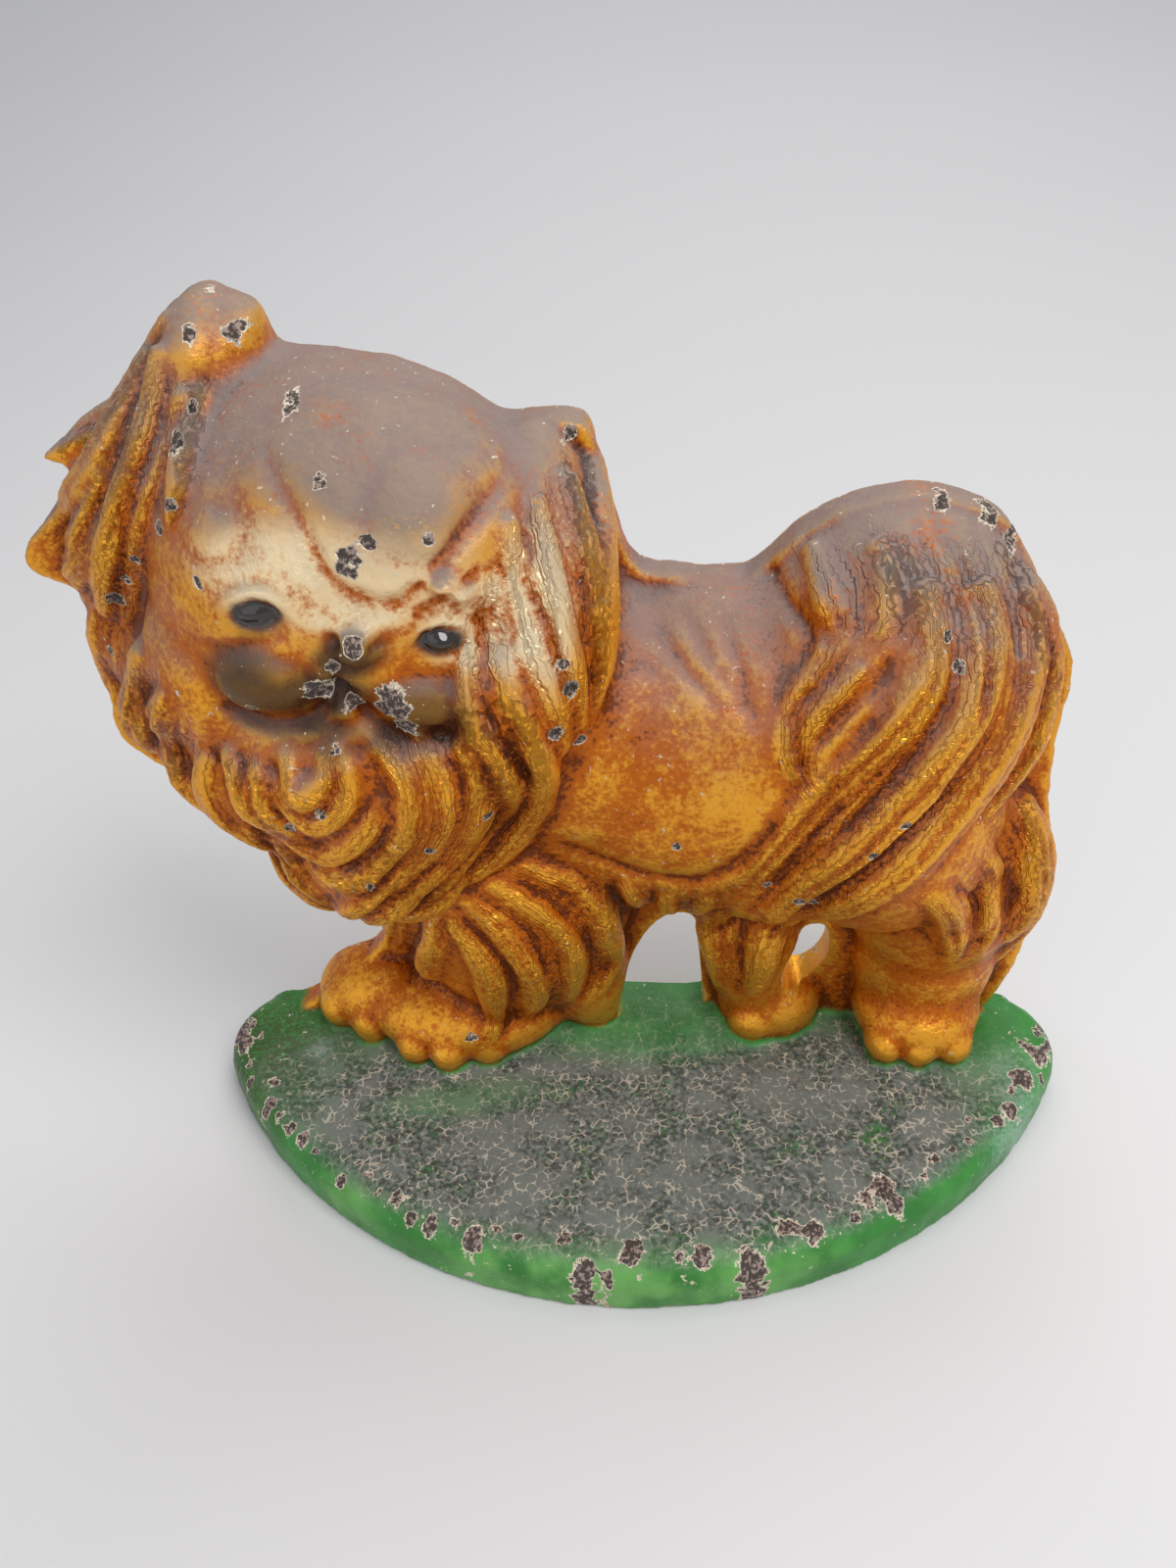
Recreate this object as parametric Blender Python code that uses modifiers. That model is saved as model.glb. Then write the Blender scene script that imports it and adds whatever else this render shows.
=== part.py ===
import bpy
import bmesh
import numpy as np
from math import acos, atan2, cos, pi, radians, sin
from mathutils import Matrix, Vector

# Driving sizes, in metres
DOG_HEIGHT = 0.171
BASE_WIDTH = 0.198
BASE_DEPTH = 0.0765
BASE_HEIGHT = 0.0125
BASE_CORNER = 0.016
BASE_SETBACK = 0.0127
BASE_EDGE = 0.006
WALL = 0.005
FLANGE = 0.007
VOXEL = DOG_HEIGHT / 142.5
DOG_TRIANGLES = 7200
HOLLOW_TRIANGLES = 900
SMOOTH_UNDER = 40.0

# The dog is carved in units of its own height, about a millimetre each.
# X runs right, Y back from the flat back, and Z up, with the base top at STAND.
UNIT = DOG_HEIGHT / 171.0
STAND = 12.5

# How far the locks sway to the side, and the slimmest mass that is hollow, in carving units
SWAY = 0.7
HOLLOW_FROM = 13

# Smoothing rounds of the masses, the core and the finished skin
MASS_ROUNDS = 16
CORE_ROUNDS = 6
SKIN_ROUNDS = 2

# How far the cutters reach past everything
FAR = BASE_WIDTH + DOG_HEIGHT

# Main masses: centre, radii, lean in degrees
MASSES = {
    "skull": ((-48, -8, 135.5), (39, 36, 35), 15),
    "crown": ((-54, -2, 161.5), (14, 18, 9.5), 6),
    "forehead": ((-41, -19, 147), (29, 25, 22), 12),
    "left_cheek": ((-70, -12, 118.5), (20, 26, 26), 0),
    "right_cheek": ((-22, -14, 116.5), (19, 28, 25), 0),
    "mane": ((-50, -12, 106), (37, 33, 30), 0),
    "mane_tip": ((-49, -16, 82.5), (22, 25, 18), 0),
    "mane_side": ((-73, -8, 96), (19.5, 21, 18.5), -35),
    "ear_peak": ((-71, -3, 170.5), (7, 15, 12), 14),
    "left_ear": ((-82.5, -3, 150.5), (11, 18, 36), 36),
    "left_ear_fall": ((-89.5, -3, 112), (13.5, 15, 24), -4),
    "right_ear": ((-12.5, -9, 124), (12, 27, 36), -5),
    "neck": ((-8, -4, 96.5), (30, 28, 33), 0),
    "barrel": ((20, -2, 89.5), (58, 31, 39), 0),
    "chest": ((-28, -4, 60), (29, 26, 42), -4),
    "rump": ((50, -2, 104), (32, 33, 39.5), 5),
    "tail_fall": ((49, -9, 82), (27, 28, 32), -20),
    "tail_end": ((32, -8, 72), (16, 24, 22), 40),
    "thigh": ((67, -4, 58), (21, 20, 31), 0),
    "hock": ((67, -4, 33), (17, 16, 22), 0),
    "shank": ((27, -3, 38), (12, 15, 24), 0),
    "fore_foot": ((-40, -8, 19.5), (25, 18, 11), 0),
    "fore_feather": ((-12, -4, 34), (11, 15, 26), -8),
    "far_fore_foot": ((-61, -3, 20), (17.5, 14, 11), -14),
    "hind_foot": ((66, -10, 19), (15, 15, 10), 0),
    "far_hind_foot": ((32, -5, 17.5), (13, 12, 10), 0),
}

# The parting line: the true outline of the dog at its flat back, clockwise from the ear
OUTLINE = [
    (-69, 182), (-64, 175), (-58, 171), (-50, 169), (-40, 167), (-30, 163), (-22, 159), (-10, 159),
    (-6, 157), (-4, 149), (1, 132), (10, 129), (22, 128), (32, 137), (41, 142), (52, 144), (62, 142),
    (70, 137), (76, 125), (83, 115), (86, 107), (86, 92), (87, 79), (89, 69), (91, 58), (90, 42),
    (88, 27), (83, 14), (76, 8), (-73, 8), (-77, 17), (-73, 23), (-65, 29), (-58, 39), (-60, 56),
    (-78, 70), (-93, 82), (-101, 88), (-106, 94), (-106, 103), (-102, 118), (-104, 127), (-113, 132),
    (-112, 138), (-101, 147), (-97, 151), (-104, 154), (-99, 157), (-90, 161), (-84, 168), (-75, 179),
]

# Openings cast right through, seen from the front
LEG_GAP = [(-4, 16), (-3, 24), (0, 33), (4, 41), (9, 45), (14, 44), (15, 36), (16, 24), (16, 16)]
SMALL_GAP = [(34, 27), (34, 35), (39, 41), (44, 41), (45, 33), (42, 27), (38, 25)]

# Face, toes and the mound of ground between the feet, over the main masses
FEATURES = {
    "ground": ((8, 0, 11), (46, 21, 5.2), 0),
    "brow_pad": ((-34, -26.8, 152), (14, 16, 12.5), 15),
    "left_brow": ((-60, -27, 150), (12, 12, 8), -10),
    "right_brow": ((-28, -34, 145), (7, 10, 2.8), 35),
    "muzzle": ((-46, -33, 130), (17, 10.5, 10), 8),
    "nose_roll": ((-43, -35, 139.5), (12, 8.8, 4.4), 4),
    "nose": ((-42.3, -40, 135.8), (5, 7.5, 3.8), 4),
    "left_lip": ((-58, -34, 128.5), (12, 11.5, 8), -15),
    "right_lip": ((-35.5, -32.5, 123.5), (10.5, 11.5, 6.8), 20),
    "lower_lip": ((-47, -35.5, 123.5), (5, 9.5, 3.6), 0),
    "chin": ((-49, -32, 117), (18, 11, 4.5), 3),
    "near_toe_1": ((-51, -18, 17), (5.5, 8, 5.5), 0),
    "near_toe_2": ((-43, -20, 17), (5.5, 8, 5.5), 0),
    "near_toe_3": ((-34, -18, 17), (6, 8, 5.5), 0),
    "far_toe_1": ((-71, -8, 18), (5.5, 7, 6), 0),
    "far_toe_2": ((-63, -12, 17), (5.5, 7, 6), 0),
    "hind_toe_1": ((58, -18, 17), (5, 7, 5), 0),
    "hind_toe_2": ((65, -19, 17), (5, 7, 5), 0),
    "hind_toe_3": ((73, -18, 17), (5, 7, 5), 0),
    "far_hind_toe": ((28, -12, 17), (6, 6, 5), 0),
}

EYES = {
    "left_eye": ((-57.5, -37.8, 141), (5.0, 4.8, 2.4), -8),
    "right_eye": ((-28.8, -37.6, 136.2), (4.3, 4.8, 2.7), 10),
}

# Fans of locks between two guide lines: first line, last line, count, radius, lift
FANS = {
    "ear_sweep": (
        [(-75, 175), (-83, 163), (-91, 152), (-101, 143), (-110, 137)],
        [(-78, 166), (-84, 155), (-91, 145), (-98, 137), (-105, 131)],
        2, 4.8, -0.5,
    ),
    "ear_flick": (
        [(-73, 179), (-80, 170), (-88, 162), (-95, 158), (-101, 155)],
        [(-74, 177), (-82, 168), (-90, 161), (-96, 158), (-101, 155)],
        1, 2.8, -0.2,
    ),
    "ear_ridge": (
        [(-74, 175), (-78, 164), (-83, 154), (-88, 144), (-93, 135), (-97, 127)],
        [(-70, 171), (-74, 161), (-79, 151), (-84, 142), (-90, 133), (-94, 124)],
        2, 3.0, 0.3,
    ),
    "ear_loop": (
        [(-68, 172), (-69, 165), (-70, 159), (-73, 151)],
        [(-67, 172), (-68, 165), (-69, 159), (-72, 151)],
        1, 2.8, 0.2,
    ),
    "ear_fall": (
        [(-96, 131), (-101, 121), (-103, 111), (-103, 102), (-102, 94)],
        [(-90, 122), (-94, 112), (-97, 104), (-98, 97), (-98, 90)],
        2, 4.6, -0.35,
    ),
    "ear_inner": (
        [(-86, 125), (-91, 115), (-94, 106), (-96, 98), (-97, 91)],
        [(-79, 123), (-84, 113), (-88, 104), (-90, 96), (-90, 89)],
        2, 4.4, -0.3,
    ),
    "cheek_fall": (
        [(-82, 117), (-86, 108), (-86, 99), (-83, 92), (-78, 86)],
        [(-72, 113), (-75, 105), (-74, 97), (-70, 89), (-65, 82)],
        2, 4.6, -0.35,
    ),
    "tuft": (
        [(-50, 118), (-48, 112), (-49, 106), (-54, 101), (-59, 104), (-62, 110)],
        [(-51, 117), (-51, 111), (-53, 108), (-56, 107), (-58, 110), (-58, 115)],
        2, 2.6, 0.1,
    ),
    "tuft_side": (
        [(-70, 113), (-68, 107), (-66, 101), (-63, 94)],
        [(-65, 114), (-64, 108), (-63, 101), (-59, 94)],
        2, 2.6, 0.0,
    ),
    "tuft_under": (
        [(-64, 97), (-60, 92), (-54, 91), (-47, 97), (-42, 106)],
        [(-62, 89), (-57, 85), (-51, 85), (-44, 91), (-38, 100)],
        2, 3.2, 0.0,
    ),
    "mane_right": (
        [(-43, 118), (-38, 109), (-39, 98), (-46, 88), (-54, 80)],
        [(-20, 122), (-15, 109), (-17, 95), (-25, 82), (-35, 73)],
        5, 3.6, 0.0,
    ),
    "mane_bottom": (
        [(-43, 88), (-49, 80), (-54, 74), (-58, 67)],
        [(-33, 78), (-40, 71), (-48, 67), (-56, 64)],
        3, 3.4, -0.1,
    ),
    "mane_left": (
        [(-67, 96), (-66, 88), (-63, 80), (-58, 73), (-55, 68)],
        [(-78, 90), (-75, 84), (-69, 78), (-62, 73), (-57, 69)],
        3, 3.6, -0.25,
    ),
    "right_ear_locks": (
        [(-18, 152), (-18, 142), (-15, 132), (-12, 121), (-11, 109)],
        [(-10, 157), (-8, 148), (-5, 139), (-5, 129), (-5, 117)],
        3, 2.7, -0.2,
    ),
    "right_ear_side": (
        [(-9, 156), (-6, 148), (-4, 138), (-4, 127), (-6, 115)],
        [(-8, 156), (-5, 148), (-3, 138), (-3, 127), (-5, 115)],
        1, 3.8, -0.4,
    ),
    "temple": (
        [(-20, 148), (-21, 137), (-19, 127), (-16, 116), (-14, 106)],
        [(-25, 139), (-26, 128), (-25, 118), (-22, 108), (-19, 102)],
        2, 2.2, -0.2,
    ),
    "plume": (
        [(46, 141), (51, 132), (52, 122), (45, 111), (36, 97), (28, 84), (20, 67)],
        [(66, 139), (70, 125), (68, 111), (62, 98), (53, 86), (44, 74), (37, 61)],
        3, 6.2, -0.5,
    ),
    "plume_edge": (
        [(67, 135), (72, 127), (75, 117), (75, 107), (72, 97), (66, 87)],
        [(70, 132), (75, 122), (78, 112), (77, 102), (74, 92), (68, 82)],
        1, 4.0, -0.4,
    ),
    "plume_loop": (
        [(36, 127), (33, 120), (30, 114), (29, 107), (30, 101), (34, 97)],
        [(42, 123), (38, 118), (35, 113), (33, 108), (33, 103), (35, 99)],
        2, 2.6, -0.1,
    ),
    "rump_top": (
        [(32, 137), (36, 131), (37, 126)],
        [(43, 139), (46, 132), (42, 125)],
        2, 3.0, -0.75,
    ),
    "hind_strands": (
        [(57, 76), (63, 66), (67, 56), (68, 45)],
        [(76, 85), (81, 72), (83, 59), (80, 46)],
        3, 4.6, -0.5,
    ),
    "hind_feather": (
        [(79, 82), (84, 70), (86, 58), (84, 46), (81, 35)],
        [(82, 78), (87, 67), (88, 56), (87, 44), (84, 33)],
        1, 3.6, -0.1,
    ),
    "fore_feather": (
        [(-24, 77), (-13, 70), (-7, 60), (-5, 49), (-5, 39), (-8, 29)],
        [(-38, 64), (-33, 55), (-30, 45), (-30, 35), (-32, 26), (-34, 20)],
        4, 4.0, -0.45,
    ),
    "chest_front": (
        [(-48, 66), (-51, 54), (-54, 43), (-58, 33)],
        [(-40, 64), (-42, 51), (-45, 39), (-49, 28)],
        2, 4.2, -0.45,
    ),
    "belly": (
        [(-8, 74), (-6, 61), (-6, 48)],
        [(16, 73), (15, 60), (13, 46)],
        4, 2.8, -0.4,
    ),
    "shank_locks": (
        [(20, 66), (19, 54), (19, 42), (20, 28)],
        [(34, 62), (32, 52), (29, 42), (27, 28)],
        2, 4.2, -0.4,
    ),
}

# Carved lines: points, half width, depth. A minus depth stands proud
GROOVES = {
    "pad_left": ([(-54, 163), (-48, 155), (-46, 149), (-41, 144), (-35, 142)], 1.9, 1.5),
    "pad_right": ([(-19, 157), (-24, 152), (-29, 147), (-35, 142)], 1.9, 1.5),
    "right_brow": ([(-21, 146), (-27, 143), (-33, 140)], 1.5, 1.0),
    "left_under_eye": ([(-71, 133), (-65, 134), (-59, 136), (-53, 138)], 1.6, 0.9),
    "left_socket": ([(-61, 140), (-54, 142)], 3.6, 2.2),
    "right_socket": ([(-30.5, 136.5), (-27.5, 135.5)], 3.8, 2.2),
    "left_lid": ([(-64, 141), (-60, 144.5), (-55, 145.5), (-51, 143)], 1.2, -1.0),
    "right_lid": ([(-34, 137), (-30.5, 140.5), (-26.5, 140), (-23.5, 136.5)], 1.2, -1.0),
    "left_lower_lid": ([(-64, 139), (-59, 136.8), (-54, 138)], 1.0, -0.6),
    "right_lower_lid": ([(-32.5, 133.5), (-28.5, 131.8), (-24.5, 133.5)], 1.0, -0.6),
    "mouth": (
        [(-69, 121), (-61, 119), (-52, 121.5), (-47, 127.5), (-43, 121), (-38, 116.5), (-30, 115.5)],
        1.6, 2.2,
    ),
    "lip_part": ([(-45.5, 133), (-46.5, 130), (-47, 127)], 1.2, 1.2),
    "left_nostril": ([(-46.2, 136.8), (-45.8, 136.8)], 1.5, 2.2),
    "right_nostril": ([(-38.8, 136), (-38.4, 136)], 1.5, 2.2),
    "belly_crease": ([(-14, 83), (-5, 78), (3, 75), (12, 74), (20, 79), (27, 90)], 2.4, 1.5),
    "plume_part": ([(54, 141), (58, 137), (61, 130), (62, 121), (61, 111), (56, 102)], 1.6, 1.4),
    "loop_hollow": ([(46, 123), (43, 116), (39, 109), (36, 101)], 2.4, 1.8),
    "rump_front": ([(25, 131), (29, 128), (32, 125), (31, 120)], 2.0, 1.3),
    "flank_1": ([(5, 124), (10, 119), (17, 113)], 1.8, 0.8),
    "flank_2": ([(11, 125), (16, 119), (21, 113)], 1.6, 0.6),
    "flank_3": ([(18, 124), (21, 117), (23, 110)], 2.0, 0.9),
    "thigh_fold": ([(70, 74), (76, 66), (77, 57), (73, 50)], 2.4, 1.2),
}


def at(x, y, z):
    return Vector((x * UNIT, y * UNIT, BASE_HEIGHT + (z - STAND) * UNIT))


def collection(name):
    made = bpy.data.collections.new(name)
    bpy.context.scene.collection.children.link(made)
    return made


def mesh_object(name, bm, home):
    mesh = bpy.data.meshes.new(name)
    bm.to_mesh(mesh)
    bm.free()
    made = bpy.data.objects.new(name, mesh)
    home.objects.link(made)
    return made


def cutter(name, bm, home):
    made = mesh_object(name, bm, home)
    made.hide_render = True
    made.display_type = "WIRE"
    return made


def bake(obj):
    """Applies the object's modifiers."""
    graph = bpy.context.evaluated_depsgraph_get()
    mesh = bpy.data.meshes.new_from_object(obj.evaluated_get(graph))
    obj.modifiers.clear()
    obj.data = mesh


def add_to(obj, bm):
    """Joins more closed shapes to the object's mesh, for the next skin."""
    bm.from_mesh(obj.data)
    bm.to_mesh(obj.data)
    bm.free()


def one_skin(obj, voxel, rounds):
    remesh = obj.modifiers.new("one skin", "REMESH")
    remesh.mode = "VOXEL"
    remesh.voxel_size = voxel
    smooth = obj.modifiers.new("soften", "SMOOTH")
    smooth.factor = 0.5
    smooth.iterations = rounds
    bake(obj)


def thin_out(obj, triangles):
    """Keeps about this many triangles."""
    obj.data.calc_loop_triangles()
    fewer = obj.modifiers.new("fewer", "DECIMATE")
    fewer.ratio = min(1.0, triangles / len(obj.data.loop_triangles))
    bake(obj)


def boolean(obj, other, operation, name):
    cut = obj.modifiers.new(name, "BOOLEAN")
    cut.operation = operation
    cut.object = other


def add_ellipsoids(bm, masses, less=0.0):
    """Ellipsoids, their radii made less by a distance, but kept above a part of it."""
    for centre, radii, lean in masses.values():
        size = [max(r * UNIT - less, less / 4) for r in radii]
        place = Matrix.Translation(at(*centre)) @ Matrix.Rotation(radians(lean), 4, "Y")
        place = place @ Matrix.Diagonal((*size, 1.0))
        bmesh.ops.create_uvsphere(bm, u_segments=40, v_segments=24, radius=1.0, matrix=place)


def through(points, steps=5):
    """Points of a smooth curve through the given ones (Catmull-Rom)."""
    ends = [2 * points[0] - points[1], *points, 2 * points[-1] - points[-2]]
    found = []
    for k in range(1, len(ends) - 2):
        p0, p1, p2, p3 = ends[k - 1 : k + 3]
        for step in range(steps):
            t = step / steps
            found.append(
                0.5 * (2 * p1 + (p2 - p0) * t + (2 * p0 - 5 * p1 + 4 * p2 - p3) * t**2
                + (3 * p1 - p0 - 3 * p2 + p3) * t**3)
            )
    return found + [points[-1]]


def front_of_masses(x, z):
    """How far forward the masses stand at a place of the relief, as a Y in carving units."""
    front = -3.0
    for centre, radii, lean in MASSES.values():
        turn = radians(lean)
        dx = x - centre[0]
        dz = z - centre[2]
        across = (dx * cos(turn) - dz * sin(turn)) / radii[0]
        along = (dx * sin(turn) + dz * cos(turn)) / radii[2]
        room = 1 - across**2 - along**2
        if room > 0:
            front = min(front, centre[1] - radii[1] * room**0.5)
    return front


def chance(*key):
    """A fixed number from 0 to 1 for a key, so that no two locks are alike."""
    mixed = sum((k + 1) * step for k, step in zip(key, (12.9898, 78.233, 37.719)))
    return abs(sin(mixed) * 43758.5453) % 1.0


def fan_line(first, last, share):
    """A line of a fan at a share from its first to its last, swaying a little."""
    line = [np.array(a, float) * (1 - share) + np.array(b, float) * share for a, b in zip(first, last)]
    line = through(line)
    for s, place in zip(np.linspace(0, 1, len(line)), line):
        place += SWAY * sin(pi * s) * np.array(
            (sin(2 * pi * (1.3 * s + 2.1 * share)), cos(2 * pi * (1.1 * s + 1.7 * share)))
        )
    return line


def lock_lines():
    """Every lock as its centre points, each with its radius, in carving units."""
    for fan, (first, last, count, radius, lift) in enumerate(FANS.values()):
        for k in range(count):
            line = fan_line(first, last, k / max(count - 1, 1))
            line = line[int(0.15 * chance(fan, k, 1) * len(line)) :]
            front = np.array([front_of_masses(*p) for p in line])
            padded = np.pad(front, 2, mode="edge")
            front = sum(padded[i : i + len(front)] for i in range(5)) / 5
            swell = np.sin(pi * np.linspace(0.12, 0.92, len(line))) ** 0.6
            thick = radius * (0.88 + 0.28 * chance(fan, k, 2)) * swell
            own_lift = lift + 0.3 * (chance(fan, k, 3) - 0.5)
            depth = front - own_lift * thick + 0.5 * radius * (1 - swell)
            yield [(p[0], y, p[1], r) for p, y, r in zip(line, depth, thick)]


def lock_gaps():
    """A groove along each gap between two neighbour locks of a fan."""
    for fan, (first, last, count, radius, lift) in enumerate(FANS.values()):
        for k in range(count - 1):
            line = fan_line(first, last, (k + 0.5) / (count - 1))
            yield line, 0.6 + 0.12 * radius, (0.12 + 0.14 * chance(fan, k)) * radius


def add_locks(bm, home):
    """Sweeps a ring along each lock's line, as thick as the lock is there."""
    data = bpy.data.curves.new("locks", "CURVE")
    data.dimensions = "3D"
    data.bevel_depth = UNIT
    data.bevel_resolution = 2
    data.use_fill_caps = True
    for line in lock_lines():
        spline = data.splines.new("POLY")
        spline.points.add(len(line) - 1)
        for point, (x, y, z, radius) in zip(spline.points, line):
            point.co = (*at(x, y, z), 1.0)
            point.radius = radius
    curve = bpy.data.objects.new("locks curve", data)
    home.objects.link(curve)
    graph = bpy.context.evaluated_depsgraph_get()
    bm.from_mesh(bpy.data.meshes.new_from_object(curve.evaluated_get(graph)))
    bmesh.ops.remove_doubles(bm, verts=bm.verts, dist=0.00001)
    bpy.data.objects.remove(curve)


def carve(obj):
    """Presses the grooves into the skin along its normals, fading at their ends."""
    mesh = obj.data
    count = len(mesh.vertices)
    places = np.empty(count * 3)
    normals = np.empty(count * 3)
    mesh.vertices.foreach_get("co", places)
    mesh.vertices.foreach_get("normal", normals)
    places = places.reshape(-1, 3)
    normals = normals.reshape(-1, 3)
    x = places[:, 0] / UNIT
    z = (places[:, 2] - BASE_HEIGHT) / UNIT + STAND
    facing = np.clip(-normals[:, 1] * 2, 0, 1)
    moved = places.copy()
    grooves = [(through([np.array(p, float) for p in line]), *rest) for line, *rest in GROOVES.values()]
    for line, half, depth in [*grooves, *lock_gaps()]:
        press = np.zeros(count)
        for k, (a, b) in enumerate(zip(line, line[1:])):
            run = b - a
            t = np.clip(((x - a[0]) * run[0] + (z - a[1]) * run[1]) / (run @ run), 0, 1)
            near = np.hypot(x - a[0] - t * run[0], z - a[1] - t * run[1])
            fade = 0.35 + 0.65 * np.sin(pi * (k + t) / (len(line) - 1)) ** 0.5
            press = np.maximum(press, fade * np.exp(-((near / half) ** 2) * 1.5))
        moved -= normals * (press * facing * depth * UNIT)[:, None]
    mesh.vertices.foreach_set("co", moved.ravel())
    mesh.update()


def slab(ring, low, high):
    """A closed ring of points seen from above, raised from low to high."""
    bm = bmesh.new()
    face = bm.faces.new([bm.verts.new((x, y, low)) for x, y in ring])
    made = bmesh.ops.extrude_face_region(bm, geom=[face])
    top = [v for v in made["geom"] if isinstance(v, bmesh.types.BMVert)]
    bmesh.ops.translate(bm, verts=top, vec=(0, 0, high - low))
    bmesh.ops.recalc_face_normals(bm, faces=bm.faces)
    return bm


def prism(points, front, back):
    """A smooth closed shape seen from the front, run from front to back along Y."""
    ring = [np.array(p, float) for p in points]
    ring = [at(x, 0, z) for x, z in through([*ring, ring[0]], 3)[:-1]]
    bm = slab([(p.x, p.z) for p in ring], front, back)
    for v in bm.verts:
        v.co = (v.co.x, v.co.z, v.co.y)
    bmesh.ops.recalc_face_normals(bm, faces=bm.faces)
    bmesh.ops.triangulate(bm, faces=bm.faces)
    return bm


def wider(points, by):
    """The shape pushed out from its own middle by a distance in carving units."""
    ring = np.array(points, float)
    out = ring - ring.mean(axis=0)
    return [tuple(p) for p in ring + by * out / np.hypot(*out.T)[:, None]]


def box_cutter(name, low, high, home):
    bm = bmesh.new()
    low = Vector(low)
    high = Vector(high)
    place = Matrix.Translation((low + high) / 2) @ Matrix.Diagonal((*(high - low), 1.0))
    bmesh.ops.create_cube(bm, size=1.0, matrix=place)
    return cutter(name, bm, home)


def base_outline(inset=0.0):
    """The half-moon seen from above: a front arc that runs into rounded ends."""
    corner_x = BASE_WIDTH / 2 - BASE_CORNER
    reach = BASE_DEPTH - BASE_SETBACK
    arc = (corner_x**2 + reach**2 - BASE_CORNER**2) / (2 * (reach - BASE_CORNER))
    centre_y = arc - BASE_DEPTH
    meet = atan2(corner_x, centre_y + BASE_SETBACK)
    corner = BASE_CORNER - inset
    back = acos((inset - BASE_SETBACK) / corner)
    right = []
    for k in range(9):
        a = back + (meet - back) * k / 8
        right.append((corner_x + corner * sin(a), -BASE_SETBACK - corner * cos(a)))
    front = []
    for k in range(1, 36):
        a = meet * (1 - k / 18)
        front.append(((arc - inset) * sin(a), centre_y - (arc - inset) * cos(a)))
    return right + front + [(-x, y) for x, y in right[::-1]]


def base_object(home):
    """The base with its rim rounded, run on behind the flat back, where it is cut off."""
    ring = base_outline()
    end = ring[0][0]
    behind = 2 * BASE_EDGE
    bm = slab([*ring, (-end, behind), (end, behind)], 0.0, BASE_HEIGHT)
    rim = [e for e in bm.edges if all(v.co.z > BASE_HEIGHT / 2 for v in e.verts)]
    bmesh.ops.bevel(bm, geom=rim, offset=BASE_EDGE, segments=4, profile=0.5, affect="EDGES")
    return cutter("base", bm, home)


def hollow_object(home):
    """The core of the mould: the large masses less the wall, kept off the openings."""
    bm = bmesh.new()
    large = {name: mass for name, mass in MASSES.items() if min(mass[1]) > HOLLOW_FROM}
    add_ellipsoids(bm, large, WALL)
    core = cutter("core", bm, home)
    one_skin(core, 2 * VOXEL, CORE_ROUNDS)
    for name, shape in (("around leg gap", LEG_GAP), ("around small gap", SMALL_GAP)):
        keep = cutter(name, prism(wider(shape, WALL / UNIT), -FAR, FAR), home)
        boolean(core, keep, "DIFFERENCE", name)
    floor = box_cutter("floor", (-FAR, -FAR, -FAR), (FAR, FAR, BASE_HEIGHT + WALL), home)
    boolean(core, floor, "DIFFERENCE", "floor")
    bake(core)
    thin_out(core, HOLLOW_TRIANGLES)
    return core


def iron():
    made = bpy.data.materials.new("painted cast iron")
    made.use_nodes = True
    shader = made.node_tree.nodes["Principled BSDF"]
    shader.inputs["Base Color"].default_value = (0.33, 0.13, 0.03, 1.0)
    shader.inputs["Roughness"].default_value = 0.35
    shader.inputs["Metallic"].default_value = 0.2
    return made


def main():
    for obj in list(bpy.data.objects):
        bpy.data.objects.remove(obj)
    part = collection("cast iron dog doorstop")
    tools = collection("cutters")

    bm = bmesh.new()
    add_ellipsoids(bm, MASSES)
    dog = mesh_object("dog_doorstop", bm, part)
    one_skin(dog, VOXEL, MASS_ROUNDS)
    bm = prism(OUTLINE, -FLANGE, FLANGE)
    add_ellipsoids(bm, FEATURES)
    add_locks(bm, tools)
    add_to(dog, bm)
    one_skin(dog, VOXEL, SKIN_ROUNDS)
    carve(dog)
    bm = bmesh.new()
    add_ellipsoids(bm, EYES)
    add_to(dog, bm)
    one_skin(dog, VOXEL, 1)

    rough = box_cutter("rough back", (-FAR, VOXEL, -FAR), (FAR, FAR, FAR), tools)
    boolean(dog, rough, "DIFFERENCE", "rough back")
    bake(dog)
    thin_out(dog, DOG_TRIANGLES)
    foot = box_cutter("under the dog", (-FAR, -FAR, -FAR), (FAR, FAR, BASE_HEIGHT - WALL / 2), tools)
    boolean(dog, foot, "DIFFERENCE", "under the dog")
    boolean(dog, base_object(tools), "UNION", "base")
    for name, shape in (("leg gap", LEG_GAP), ("small gap", SMALL_GAP)):
        boolean(dog, cutter(name, prism(shape, -FAR, FAR), tools), "DIFFERENCE", name)
    boolean(dog, hollow_object(tools), "DIFFERENCE", "hollow back")
    tray = slab(base_outline(WALL), -WALL, BASE_HEIGHT - WALL)
    boolean(dog, cutter("tray", tray, tools), "DIFFERENCE", "tray")
    back = box_cutter("flat back", (-FAR, 0, -FAR), (FAR, FAR, FAR), tools)
    boolean(dog, back, "DIFFERENCE", "flat back")
    bake(dog)

    points = np.array([v.co for v in dog.data.vertices])
    middle = (points.min(axis=0) + points.max(axis=0)) / 2
    dog.data.transform(Matrix.Translation((-middle[0], -middle[1], 0)))
    dog.data.shade_smooth()
    dog.data.set_sharp_from_angle(angle=radians(SMOOTH_UNDER))
    dog.data.materials.append(iron())


main()
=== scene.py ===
"""Carves and paints a flat-backed cast iron dog on a half-moon base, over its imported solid."""
from math import atan2, acos, cos, pi, radians, sin

import bmesh
import bpy
import numpy as np
from bpy.props import FloatProperty, FloatVectorProperty, IntProperty, PointerProperty
from mathutils import Matrix, Vector
from mathutils.kdtree import KDTree


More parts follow.
